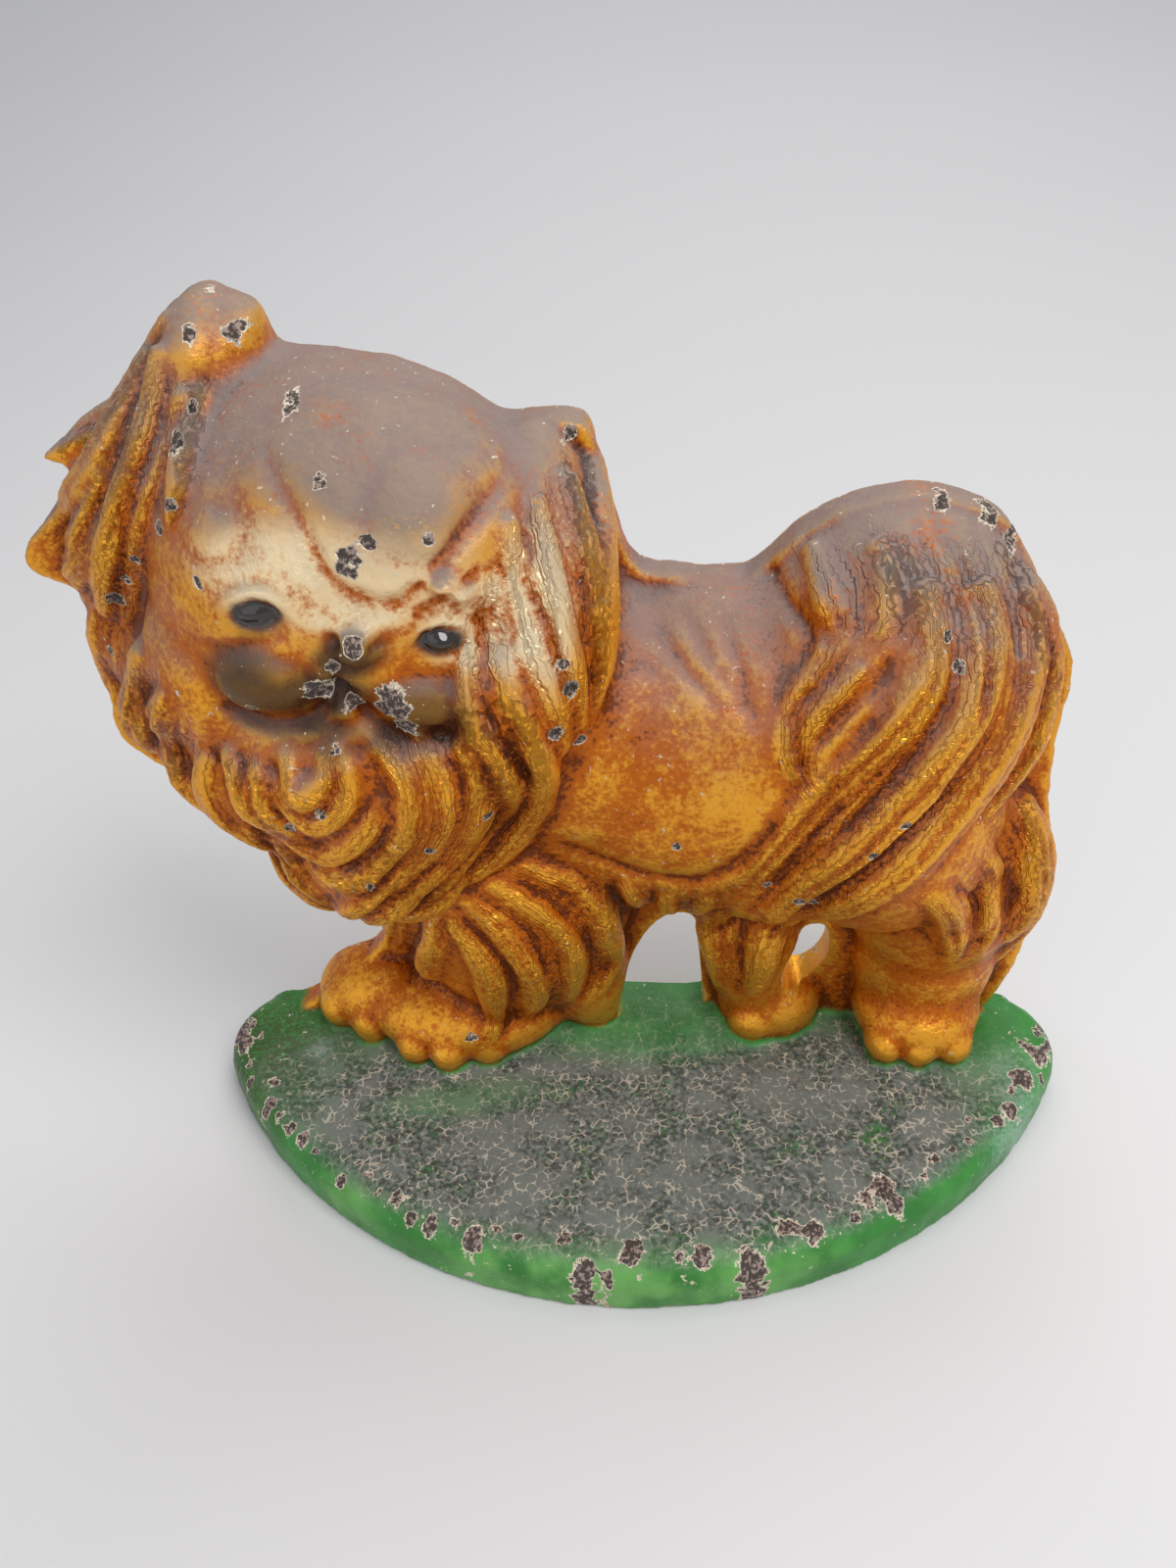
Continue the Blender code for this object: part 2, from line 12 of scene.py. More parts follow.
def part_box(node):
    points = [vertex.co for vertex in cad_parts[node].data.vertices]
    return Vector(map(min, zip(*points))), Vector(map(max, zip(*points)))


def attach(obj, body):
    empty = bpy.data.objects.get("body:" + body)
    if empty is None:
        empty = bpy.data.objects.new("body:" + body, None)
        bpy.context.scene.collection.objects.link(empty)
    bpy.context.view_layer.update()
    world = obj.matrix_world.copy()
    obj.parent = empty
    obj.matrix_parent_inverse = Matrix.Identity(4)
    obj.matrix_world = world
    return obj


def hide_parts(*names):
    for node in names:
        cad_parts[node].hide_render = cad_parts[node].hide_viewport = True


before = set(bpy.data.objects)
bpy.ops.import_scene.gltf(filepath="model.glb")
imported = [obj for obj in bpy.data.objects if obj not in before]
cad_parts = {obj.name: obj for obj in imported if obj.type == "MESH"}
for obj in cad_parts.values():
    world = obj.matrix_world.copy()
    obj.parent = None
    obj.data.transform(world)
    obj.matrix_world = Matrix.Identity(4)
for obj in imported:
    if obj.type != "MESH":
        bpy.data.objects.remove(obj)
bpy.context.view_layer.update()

bl_info = {
    "name": "Cast Iron Dog Doorstop",
    "version": (1, 0, 0),
    "blender": (4, 5, 0),
    "location": "View3D > Sidebar > Doorstop",
    "description": "Carves and paints a cast iron dog doorstop",
    "category": "Add Mesh",
}

NODE = "dog_doorstop"
CAD_LOW, CAD_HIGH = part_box(NODE)

# The dog is carved in units of its own height, about a millimetre each.
# X runs right, Y back from the flat back, and Z up, with the base top at STAND.
STAND = 12.5

# Main masses: centre, radii, lean in degrees
MASSES = {
    "skull": ((-48, -8, 135.5), (39, 36, 35), 15),
    "crown": ((-54, -2, 161.5), (14, 18, 9.5), 6),
    "forehead": ((-41, -19, 147), (29, 25, 22), 12),
    "left_cheek": ((-70, -12, 118.5), (20, 26, 26), 0),
    "right_cheek": ((-22, -14, 116.5), (19, 28, 25), 0),
    "mane": ((-50, -12, 106), (37, 33, 30), 0),
    "mane_tip": ((-49, -16, 82.5), (22, 25, 18), 0),
    "mane_side": ((-73, -8, 96), (19.5, 21, 18.5), -35),
    "ear_peak": ((-71, -3, 170.5), (7, 15, 12), 14),
    "left_ear": ((-82.5, -3, 150.5), (11, 18, 36), 36),
    "left_ear_fall": ((-89.5, -3, 112), (13.5, 15, 24), -4),
    "right_ear": ((-12.5, -9, 124), (12, 27, 36), -5),
    "neck": ((-8, -4, 96.5), (30, 28, 33), 0),
    "barrel": ((20, -2, 89.5), (58, 31, 39), 0),
    "chest": ((-28, -4, 60), (29, 26, 42), -4),
    "rump": ((50, -2, 104), (32, 33, 39.5), 5),
    "tail_fall": ((49, -9, 82), (27, 28, 32), -20),
    "tail_end": ((32, -8, 72), (16, 24, 22), 40),
    "thigh": ((67, -4, 58), (21, 20, 31), 0),
    "hock": ((67, -4, 33), (17, 16, 22), 0),
    "shank": ((27, -3, 38), (12, 15, 24), 0),
    "fore_foot": ((-40, -8, 19.5), (25, 18, 11), 0),
    "fore_feather": ((-12, -4, 34), (11, 15, 26), -8),
    "far_fore_foot": ((-61, -3, 20), (17.5, 14, 11), -14),
    "hind_foot": ((66, -10, 19), (15, 15, 10), 0),
    "far_hind_foot": ((32, -5, 17.5), (13, 12, 10), 0),
}

# The parting line: the true outline of the dog at its flat back, clockwise from the ear
OUTLINE = [
    (-69, 182), (-64, 175), (-58, 171), (-50, 169), (-40, 167), (-30, 163), (-22, 159), (-10, 159),
    (-6, 157), (-4, 149), (1, 132), (10, 129), (22, 128), (32, 137), (41, 142), (52, 144), (62, 142),
    (70, 137), (76, 125), (83, 115), (86, 107), (86, 92), (87, 79), (89, 69), (91, 58), (90, 42),
    (88, 27), (83, 14), (76, 8), (-73, 8), (-77, 17), (-73, 23), (-65, 29), (-58, 39), (-60, 56),
    (-78, 70), (-93, 82), (-101, 88), (-106, 94), (-106, 103), (-102, 118), (-104, 127), (-113, 132),
    (-112, 138), (-101, 147), (-97, 151), (-104, 154), (-99, 157), (-90, 161), (-84, 168), (-75, 179),
]

# Openings cast right through, seen from the front
LEG_GAP = [(-4, 16), (-3, 24), (0, 33), (4, 41), (9, 45), (14, 44), (15, 36), (16, 24), (16, 16)]
SMALL_GAP = [(34, 27), (34, 35), (39, 41), (44, 41), (45, 33), (42, 27), (38, 25)]

# Face, toes and the mound of ground between the feet, over the main masses
FEATURES = {
    "ground": ((8, 0, 11), (46, 21, 5.2), 0),
    "brow_pad": ((-34, -26.8, 152), (14, 16, 12.5), 15),
    "left_brow": ((-60, -27, 150), (12, 12, 8), -10),
    "right_brow": ((-28, -34, 145), (7, 10, 2.8), 35),
    "muzzle": ((-46, -33, 130), (17, 10.5, 10), 8),
    "nose_roll": ((-43, -35, 139.5), (12, 8.8, 4.4), 4),
    "nose": ((-42.3, -40, 135.8), (5, 7.5, 3.8), 4),
    "left_lip": ((-58, -34, 128.5), (12, 11.5, 8), -15),
    "right_lip": ((-35.5, -32.5, 123.5), (10.5, 11.5, 6.8), 20),
    "lower_lip": ((-47, -35.5, 123.5), (5, 9.5, 3.6), 0),
    "chin": ((-49, -32, 117), (18, 11, 4.5), 3),
    "near_toe_1": ((-51, -18, 17), (5.5, 8, 5.5), 0),
    "near_toe_2": ((-43, -20, 17), (5.5, 8, 5.5), 0),
    "near_toe_3": ((-34, -18, 17), (6, 8, 5.5), 0),
    "far_toe_1": ((-71, -8, 18), (5.5, 7, 6), 0),
    "far_toe_2": ((-63, -12, 17), (5.5, 7, 6), 0),
    "hind_toe_1": ((58, -18, 17), (5, 7, 5), 0),
    "hind_toe_2": ((65, -19, 17), (5, 7, 5), 0),
    "hind_toe_3": ((73, -18, 17), (5, 7, 5), 0),
    "far_hind_toe": ((28, -12, 17), (6, 6, 5), 0),
}

EYES = {
    "left_eye": ((-58.3, -37.4, 140.4), (4.4, 4.6, 2.3), -8),
    "right_eye": ((-29.6, -36.8, 134.2), (3.4, 4.5, 2.2), 10),
}

# Fans of locks between two guide lines: first line, last line, count, radius, lift
FANS = {
    "ear_sweep": (
        [(-75, 175), (-83, 163), (-91, 152), (-101, 143), (-110, 137)],
        [(-78, 166), (-84, 155), (-91, 145), (-98, 137), (-105, 131)],
        2, 4.8, -0.5,
    ),
    "ear_flick": (
        [(-73, 179), (-80, 170), (-88, 162), (-95, 158), (-101, 155)],
        [(-74, 177), (-82, 168), (-90, 161), (-96, 158), (-101, 155)],
        1, 2.8, -0.2,
    ),
    "ear_ridge": (
        [(-74, 175), (-78, 164), (-83, 154), (-88, 144), (-93, 135), (-97, 127)],
        [(-70, 171), (-74, 161), (-79, 151), (-84, 142), (-90, 133), (-94, 124)],
        2, 3.0, 0.3,
    ),
    "ear_loop": (
        [(-68, 172), (-69, 165), (-70, 159), (-73, 151)],
        [(-67, 172), (-68, 165), (-69, 159), (-72, 151)],
        1, 2.8, 0.2,
    ),
    "ear_fall": (
        [(-96, 131), (-101, 121), (-103, 111), (-103, 102), (-102, 94)],
        [(-90, 122), (-94, 112), (-97, 104), (-98, 97), (-98, 90)],
        2, 4.6, -0.35,
    ),
    "ear_inner": (
        [(-86, 125), (-91, 115), (-94, 106), (-96, 98), (-97, 91)],
        [(-79, 123), (-84, 113), (-88, 104), (-90, 96), (-90, 89)],
        2, 4.4, -0.3,
    ),
    "cheek_fall": (
        [(-82, 117), (-86, 108), (-86, 99), (-83, 92), (-78, 86)],
        [(-72, 113), (-75, 105), (-74, 97), (-70, 89), (-65, 82)],
        2, 4.6, -0.35,
    ),
    "tuft": (
        [(-50, 118), (-48, 112), (-49, 106), (-54, 101), (-59, 104), (-62, 110)],
        [(-51, 117), (-51, 111), (-53, 108), (-56, 107), (-58, 110), (-58, 115)],
        2, 2.6, 0.1,
    ),
    "tuft_side": (
        [(-70, 113), (-68, 107), (-66, 101), (-63, 94)],
        [(-65, 114), (-64, 108), (-63, 101), (-59, 94)],
        2, 2.6, 0.0,
    ),
    "tuft_under": (
        [(-64, 97), (-60, 92), (-54, 91), (-47, 97), (-42, 106)],
        [(-62, 89), (-57, 85), (-51, 85), (-44, 91), (-38, 100)],
        2, 3.2, 0.0,
    ),
    "mane_right": (
        [(-43, 118), (-38, 109), (-39, 98), (-46, 88), (-54, 80)],
        [(-20, 122), (-15, 109), (-17, 95), (-25, 82), (-35, 73)],
        5, 3.6, 0.0,
    ),
    "mane_bottom": (
        [(-43, 88), (-49, 80), (-54, 74), (-58, 67)],
        [(-33, 78), (-40, 71), (-48, 67), (-56, 64)],
        3, 3.4, -0.1,
    ),
    "mane_left": (
        [(-67, 96), (-66, 88), (-63, 80), (-58, 73), (-55, 68)],
        [(-78, 90), (-75, 84), (-69, 78), (-62, 73), (-57, 69)],
        3, 3.6, -0.25,
    ),
    "right_ear_locks": (
        [(-18, 152), (-18, 142), (-15, 132), (-12, 121), (-11, 109)],
        [(-10, 157), (-8, 148), (-5, 139), (-5, 129), (-5, 117)],
        3, 2.7, -0.2,
    ),
    "right_ear_side": (
        [(-9, 156), (-6, 148), (-4, 138), (-4, 127), (-6, 115)],
        [(-8, 156), (-5, 148), (-3, 138), (-3, 127), (-5, 115)],
        1, 3.8, -0.4,
    ),
    "temple": (
        [(-20, 148), (-21, 137), (-19, 127), (-16, 116), (-14, 106)],
        [(-25, 139), (-26, 128), (-25, 118), (-22, 108), (-19, 102)],
        2, 2.2, -0.2,
    ),
    "plume": (
        [(46, 141), (51, 132), (52, 122), (45, 111), (36, 97), (28, 84), (20, 67)],
        [(66, 139), (70, 125), (68, 111), (62, 98), (53, 86), (44, 74), (37, 61)],
        3, 6.2, -0.5,
    ),
    "plume_edge": (
        [(67, 135), (72, 127), (75, 117), (75, 107), (72, 97), (66, 87)],
        [(70, 132), (75, 122), (78, 112), (77, 102), (74, 92), (68, 82)],
        1, 4.0, -0.4,
    ),
    "plume_loop": (
        [(36, 127), (33, 120), (30, 114), (29, 107), (30, 101), (34, 97)],
        [(42, 123), (38, 118), (35, 113), (33, 108), (33, 103), (35, 99)],
        2, 2.6, -0.1,
    ),
    "rump_top": (
        [(32, 137), (36, 131), (37, 126)],
        [(43, 139), (46, 132), (42, 125)],
        2, 3.0, -0.75,
    ),
    "hind_strands": (
        [(57, 76), (63, 66), (67, 56), (68, 45)],
        [(76, 85), (81, 72), (83, 59), (80, 46)],
        3, 4.6, -0.5,
    ),
    "hind_feather": (
        [(79, 82), (84, 70), (86, 58), (84, 46), (81, 35)],
        [(82, 78), (87, 67), (88, 56), (87, 44), (84, 33)],
        1, 3.6, -0.1,
    ),
    "fore_feather": (
        [(-24, 77), (-13, 70), (-7, 60), (-5, 49), (-5, 39), (-8, 29)],
        [(-38, 64), (-33, 55), (-30, 45), (-30, 35), (-32, 26), (-34, 20)],
        4, 4.0, -0.45,
    ),
    "chest_front": (
        [(-48, 66), (-51, 54), (-54, 43), (-58, 33)],
        [(-40, 64), (-42, 51), (-45, 39), (-49, 28)],
        2, 4.2, -0.45,
    ),
    "belly": (
        [(-8, 74), (-6, 61), (-6, 48)],
        [(16, 73), (15, 60), (13, 46)],
        4, 2.8, -0.4,
    ),
    "shank_locks": (
        [(20, 66), (19, 54), (19, 42), (20, 28)],
        [(34, 62), (32, 52), (29, 42), (27, 28)],
        2, 4.2, -0.4,
    ),
}

# Carved lines: points, half width, depth. A minus depth stands proud
GROOVES = {
    "pad_left": ([(-54, 163), (-48, 155), (-46, 149), (-41, 144), (-35, 142)], 1.9, 1.5),
    "pad_right": ([(-19, 157), (-24, 152), (-29, 147), (-35, 142)], 1.9, 1.5),
    "right_brow": ([(-21, 146), (-27, 143), (-33, 140)], 1.5, 1.0),
    "left_under_eye": ([(-71, 133), (-65, 134), (-59, 136), (-53, 138)], 1.6, 0.9),
    "left_socket": ([(-62, 139.5), (-55, 141)], 3.2, 2.0),
    "right_socket": ([(-31, 134.5), (-28, 133.7)], 3.2, 2.0),
    "left_lid": ([(-64, 140.4), (-60.5, 143.4), (-56.5, 144.2), (-52.5, 142.2)], 1.2, -1.1),
    "right_lid": ([(-34.5, 134.6), (-31.5, 137.6), (-27.5, 137.2), (-24.8, 134.4)], 1.2, -1.1),
    "left_lower_lid": ([(-64, 138.6), (-59.5, 136.8), (-55, 137.8)], 1.0, -0.6),
    "right_lower_lid": ([(-33, 132), (-29.5, 130.6), (-26, 132)], 1.0, -0.6),
    "mouth": (
        [(-69, 121), (-61, 119), (-52, 121.5), (-47, 127.5), (-43, 121), (-38, 116.5), (-30, 115.5)],
        1.6, 2.2,
    ),
    "lip_part": ([(-45.5, 133), (-46.5, 130), (-47, 127)], 1.2, 1.2),
    "left_nostril": ([(-46.2, 136.8), (-45.8, 136.8)], 1.5, 2.2),
    "right_nostril": ([(-38.8, 136), (-38.4, 136)], 1.5, 2.2),
    "belly_crease": ([(-14, 83), (-5, 78), (3, 75), (12, 74), (20, 79), (27, 90)], 2.4, 1.5),
    "plume_part": ([(54, 141), (58, 137), (61, 130), (62, 121), (61, 111), (56, 102)], 1.6, 1.4),
    "loop_hollow": ([(46, 123), (43, 116), (39, 109), (36, 101)], 2.4, 1.8),
    "rump_front": ([(25, 131), (29, 128), (32, 125), (31, 120)], 2.0, 1.3),
    "flank_1": ([(5, 124), (10, 119), (17, 113)], 1.8, 0.8),
    "flank_2": ([(11, 125), (16, 119), (21, 113)], 1.6, 0.6),
    "flank_3": ([(18, 124), (21, 117), (23, 110)], 2.0, 0.9),
    "thigh_fold": ([(70, 74), (76, 66), (77, 57), (73, 50)], 2.4, 1.2),
}

# Paint spots on the front: centre, radii, lean in degrees, strength
DARK_SPOTS = [
    ((-62, 128), (11, 8), -15, 1.0),
    ((-51, 124), (9, 6), 0, 0.75),
    ((-43, 134.5), (7, 4.6), 0, 1.0),
    ((-47, 129), (7, 6), 0, 0.75),
    ((-33, 122), (11, 7), 20, 0.9),
    ((-49, 117), (21, 3.6), 4, 0.6),
    ((-58.5, 140), (6.4, 3.8), -8, 0.9),
    ((-29.6, 134), (5.2, 3.6), 10, 0.9),
]
# Pale spots: cream paint of the face, and on the plume and the flank a painted highlight.
PALE_PAINT_AND_HIGHLIGHT_SPOTS = [
    ((-44, 142), (36, 22), 0, 0.45),
    ((-42, 149), (26, 11), 0, 0.4),
    ((-61, 148), (14, 9), -10, 0.3),
    ((-23, 135), (9, 10), 30, 0.7),
    ((-42, 140.5), (10, 2.8), 0, 0.4),
    ((-12, 136), (8, 22), 0, 0.7),
    # These last two are a painted highlight on the plume and the flank.
    ((60, 112), (12, 30), -15, 0.4),
    ((14, 100), (20, 16), 0, 0.4),
]
# Grey on crown, forehead, rump top and ear: dust, and a painted sheen of the light from above.
DUST_AND_SHEEN_SPOTS = [
    ((-34, 156), (14, 8), 10, 0.6),
    ((-44, 163), (26, 7), 12, 0.9),
    ((52, 137), (22, 8), 0, 0.8),
    ((-78, 170), (9, 10), 35, 0.5),
]

# Larger chips on the front: centre, size
CHIPS = [
    ((-67, 183), 1.5), ((-69, 177), 1.2), ((-63, 176), 1.6), ((-71, 163), 1.4), ((-72, 155), 1.3),
    ((-69, 167), 0.9), ((-76, 150), 1.0), ((-84, 142), 0.9), ((-92, 132), 1.5), ((-88, 137), 1.1),
    ((-99, 118), 0.9), ((-52, 168), 1.2), ((-45, 161), 1.1), ((-29, 153), 1.1), ((-41, 151), 1.9),
    ((-42, 149), 1.6), ((-38, 153), 1.2), ((-50, 127), 2.2), ((-38, 124), 3.2), ((-37, 119), 2.0),
    ((-45, 124), 1.4), ((-42, 137), 1.5), ((-47, 132), 1.2), ((-9, 157), 1.2), ((-9, 123), 1.4),
    ((-62, 124), 1.0), ((-68, 144), 0.9), ((-12, 115), 1.3),
    ((-10, 128), 1.0), ((-8, 110), 1.1), ((-37, 23), 1.2), ((57, 123), 1.3), ((55, 128), 0.9),
    ((65, 141), 2.0), ((56, 143), 1.4), ((69, 136), 1.4), ((9, 85), 1.0), ((-49, 116), 1.0),
    ((-53, 104), 1.0), ((-60, 99), 0.9), ((-36, 92), 0.9), ((-48, 84), 1.0), ((-25, 98), 0.9),
    ((33, 72), 1.1), ((36, 70), 1.0), ((27, 74), 0.9), ((45, 88), 0.9), ((50, 95), 0.9),
]

# Paint of the base seen from above: painted shade in olive at the left end, a painted lit green along
# the front rim, where it is grassy, and a painted sheen that makes it pale
SHADED_END_SPOTS = [((-88, -20), (24, 24), 0, 1.0)]
PAINTED_LIT_SPOTS = [((0, -74), (60, 9), 0, 1.0), ((-62, -58), (20, 9), -35, 0.8)]
GRASS_SPOTS = [((2, -10), (38, 13), 0, 1.0), ((-40, -34), (22, 6), -10, 0.5)]
# Pale bluish spots on the green: a painted sheen of reflected light.
PAINTED_SHEEN_SPOTS = [
    ((84, -34), (7, 20), 15, 0.8), ((-75, -20), (7, 3), -40, 0.9), ((23, -29), (7, 4), 0, 0.7),
]
WORN_MIDDLE = ((1, -38), (78, 33), 0)

# How far the green runs up over the ground, and over how much it fades
GREEN_LAP = 1.6
GREEN_FADE = 1.2

# Dust and a painted sheen lie on what faces up from this height, and thicken over the next stretch
DUST_AND_SHEEN_FROM = 70
DUST_AND_SHEEN_OVER = 60

# Masses are hollow behind where all their radii are over this
HOLLOW_FROM = 13
CORE_TRIANGLES = 12000

# Rounds of smoothing of the main masses, the carved skin and the core
MASS_ROUNDS = 16
SKIN_ROUNDS = 3
CORE_ROUNDS = 10

# Past every side of the dog, and how far the cutters of its openings reach
FAR = 0.3
CUT_FRONT = 0.06
CUT_BEHIND = 0.02

# Steps of the rounded ends of the base and of each half of its front arc
CORNER_STEPS = 12
ARC_STEPS = 24

# Lamps: name, place, size, power
LAMPS = (
    ("key", (0.35, -0.3, 0.8), 0.45, 5.0),
    ("back", (0.2, 0.7, 1.1), 0.9, 6.0),
    ("fill", (-0.7, -0.7, 0.4), 0.9, 1.5),
)
LAMP_AIM = Vector((0, 0, 0.08))


class DoorstopCasting(bpy.types.PropertyGroup):
    """Sizes of the casting."""
    unit: FloatProperty(
        name="Carving Unit", description="Size of one unit of the carving",
        default=0.001, unit="LENGTH")
    base_width: FloatProperty(
        name="Base Width", description="Width of the half-moon base", default=0.198, unit="LENGTH")
    base_depth: FloatProperty(
        name="Base Depth", description="Depth of the half-moon base", default=0.0765, unit="LENGTH")
    base_height: FloatProperty(
        name="Base Height", description="Height of the base", default=0.0125, unit="LENGTH")
    base_corner: FloatProperty(
        name="Base Corner", description="Radius of the base's ends", default=0.016, unit="LENGTH")
    base_setback: FloatProperty(
        name="Base Setback", description="How far those roundings' centres stand off the flat back",
        default=0.0127, unit="LENGTH")
    base_edge: FloatProperty(
        name="Base Edge", description="Rounding of the base's rim", default=0.006, unit="LENGTH")
    wall: FloatProperty(
        name="Wall", description="Thickness of the iron", default=0.005, unit="LENGTH")
    flange: FloatProperty(
        name="Flange", description="Thickness of the rim at the flat back", default=0.007,
        unit="LENGTH")
    voxel: FloatProperty(
        name="Fine Grid", description="Grid of the finished skin", default=0.0007, unit="LENGTH")
    rough_cast: FloatProperty(
        name="Rough Cast", description="Depth of the sand's grain", default=0.00025, unit="LENGTH")
    grain_size: FloatProperty(
        name="Grain Size", description="Size of the sand's grain", default=0.0016, unit="LENGTH")
    dent_depth: FloatProperty(
        name="Dent Depth", description="Depth of the wider unevenness", default=0.000625,
        unit="LENGTH")
    dent_size: FloatProperty(
        name="Dent Size", description="Size of the wider unevenness", default=0.006, unit="LENGTH")
    ridges: IntProperty(
        name="Ridges", description="Ridges round each lock of hair", default=8, min=0)
    ridge_depth: FloatProperty(
        name="Ridge Depth", description="Depth of those ridges, as a share of the lock's radius",
        default=0.08, min=0.0)
    sway: FloatProperty(
        name="Sway", description="How far the locks sway to the side, in carving units", default=0.7)
    strands: FloatProperty(
        name="Strands", description="Fine strands across each lock", default=3.0)
    strand_depth: FloatProperty(
        name="Strand Depth", description="Depth of the fine strands", default=0.0004,
        unit="LENGTH")
    triangles: IntProperty(
        name="Triangles", description="Triangles of the finished casting", default=190000)


class DoorstopPaint(bpy.types.PropertyGroup):
    """Colours of the worn paint."""
    # Umber: darker paint in the grooves and hollows, painted shade there, partly dirt.
    umber_and_shade: FloatVectorProperty(
        name="Umber", description="Paint in the grooves", subtype="COLOR", size=3,
        default=(0.16, 0.030, 0.002))
    amber: FloatVectorProperty(
        name="Amber", description="Main paint of the coat", subtype="COLOR", size=3,
        default=(0.46, 0.105, 0.001))
    # Gold on the raised hair is partly gilt paint and partly a painted highlight.
    gold_and_highlight: FloatVectorProperty(
        name="Gold", description="Rubbed paint on raised hair", subtype="COLOR", size=3,
        default=(0.80, 0.36, 0.03))
    cream: FloatVectorProperty(
        name="Cream", description="Pale paint of the face", subtype="COLOR", size=3,
        default=(0.92, 0.74, 0.46))
    # Grey on what faces up: partly dust and partly a painted sheen of the light from above.
    dust_and_sheen: FloatVectorProperty(
        name="Dust", description="Dust on what faces up", subtype="COLOR", size=3,
        default=(0.20, 0.165, 0.15))
    black: FloatVectorProperty(
        name="Black", description="Sprayed black of muzzle and eyes", subtype="COLOR", size=3,
        default=(0.014, 0.008, 0.005))
    green: FloatVectorProperty(
        name="Green", description="Paint of the base", subtype="COLOR", size=3,
        default=(0.032, 0.17, 0.03))
    # Lit green: a lighter copy of the green, painted along the front rim where the light falls.
    painted_lit_green: FloatVectorProperty(
        name="Lit Green", description="Faded paint along the front rim", subtype="COLOR", size=3,
        default=(0.16, 0.38, 0.10))
    # Olive: painted shade at the left end of the base.
    shaded_olive: FloatVectorProperty(
        name="Olive", description="Soiled paint at the left end", subtype="COLOR", size=3,
        default=(0.045, 0.050, 0.016))
    # Bloom: a pale bluish painted sheen on the green, where light is reflected.
    painted_sheen_colour: FloatVectorProperty(
        name="Bloom", description="Pale bloom on the green", subtype="COLOR", size=3,
        default=(0.42, 0.50, 0.50))
    dirt: FloatVectorProperty(
        name="Dirt", description="Worn middle of the base", subtype="COLOR", size=3,
        default=(0.105, 0.115, 0.10))
    primer: FloatVectorProperty(
        name="Primer", description="Pale edge of the chips", subtype="COLOR", size=3,
        default=(0.70, 0.60, 0.46))
    iron: FloatVectorProperty(
        name="Iron", description="Bare iron in the chips", subtype="COLOR", size=3,
        default=(0.060, 0.045, 0.038))


class DoorstopStage(bpy.types.PropertyGroup):
    """Floor, light and camera."""
    floor: FloatVectorProperty(
        name="Floor", description="Colour of the floor", subtype="COLOR", size=3,
        default=(0.62, 0.61, 0.60))
    reach: FloatProperty(
        name="Reach", description="Half width of the floor", default=3.0, unit="LENGTH")
    bend_start: FloatProperty(
        name="Bend Start", description="How far back the floor starts to rise", default=0.4,
        unit="LENGTH")
    bend: FloatProperty(
        name="Bend", description="Radius with which the floor rises", default=2.0, unit="LENGTH")
    sky: FloatVectorProperty(
        name="Sky", description="Colour of the light from all round", subtype="COLOR", size=3,
        default=(0.9, 0.93, 1.0))
    sky_strength: FloatProperty(
        name="Sky Strength", description="Strength of the light from all round", default=0.6)
    stand_at: FloatVectorProperty(
        name="Camera Place", description="Where the camera stands, from the middle of the flat back",
        subtype="TRANSLATION", size=3, default=(0.0051, -0.2066, 0.2269))
    lens: FloatProperty(
        name="Lens", description="Focal length in millimetres, on a film 36 mm high", default=27.0)
    tilt: FloatProperty(
        name="Camera Tilt", description="How far the camera looks down", default=radians(36),
        subtype="ANGLE")
    turn: FloatProperty(
        name="Camera Turn", description="How far the camera looks to the left",
        default=radians(4), subtype="ANGLE")
    roll: FloatProperty(
        name="Camera Roll", description="How far the camera leans", default=radians(-2.7),
        subtype="ANGLE")


def collection(name):
    found = bpy.data.collections.get(name)
    if found is None:
        found = bpy.data.collections.new(name)
        bpy.context.scene.collection.children.link(found)
    return found


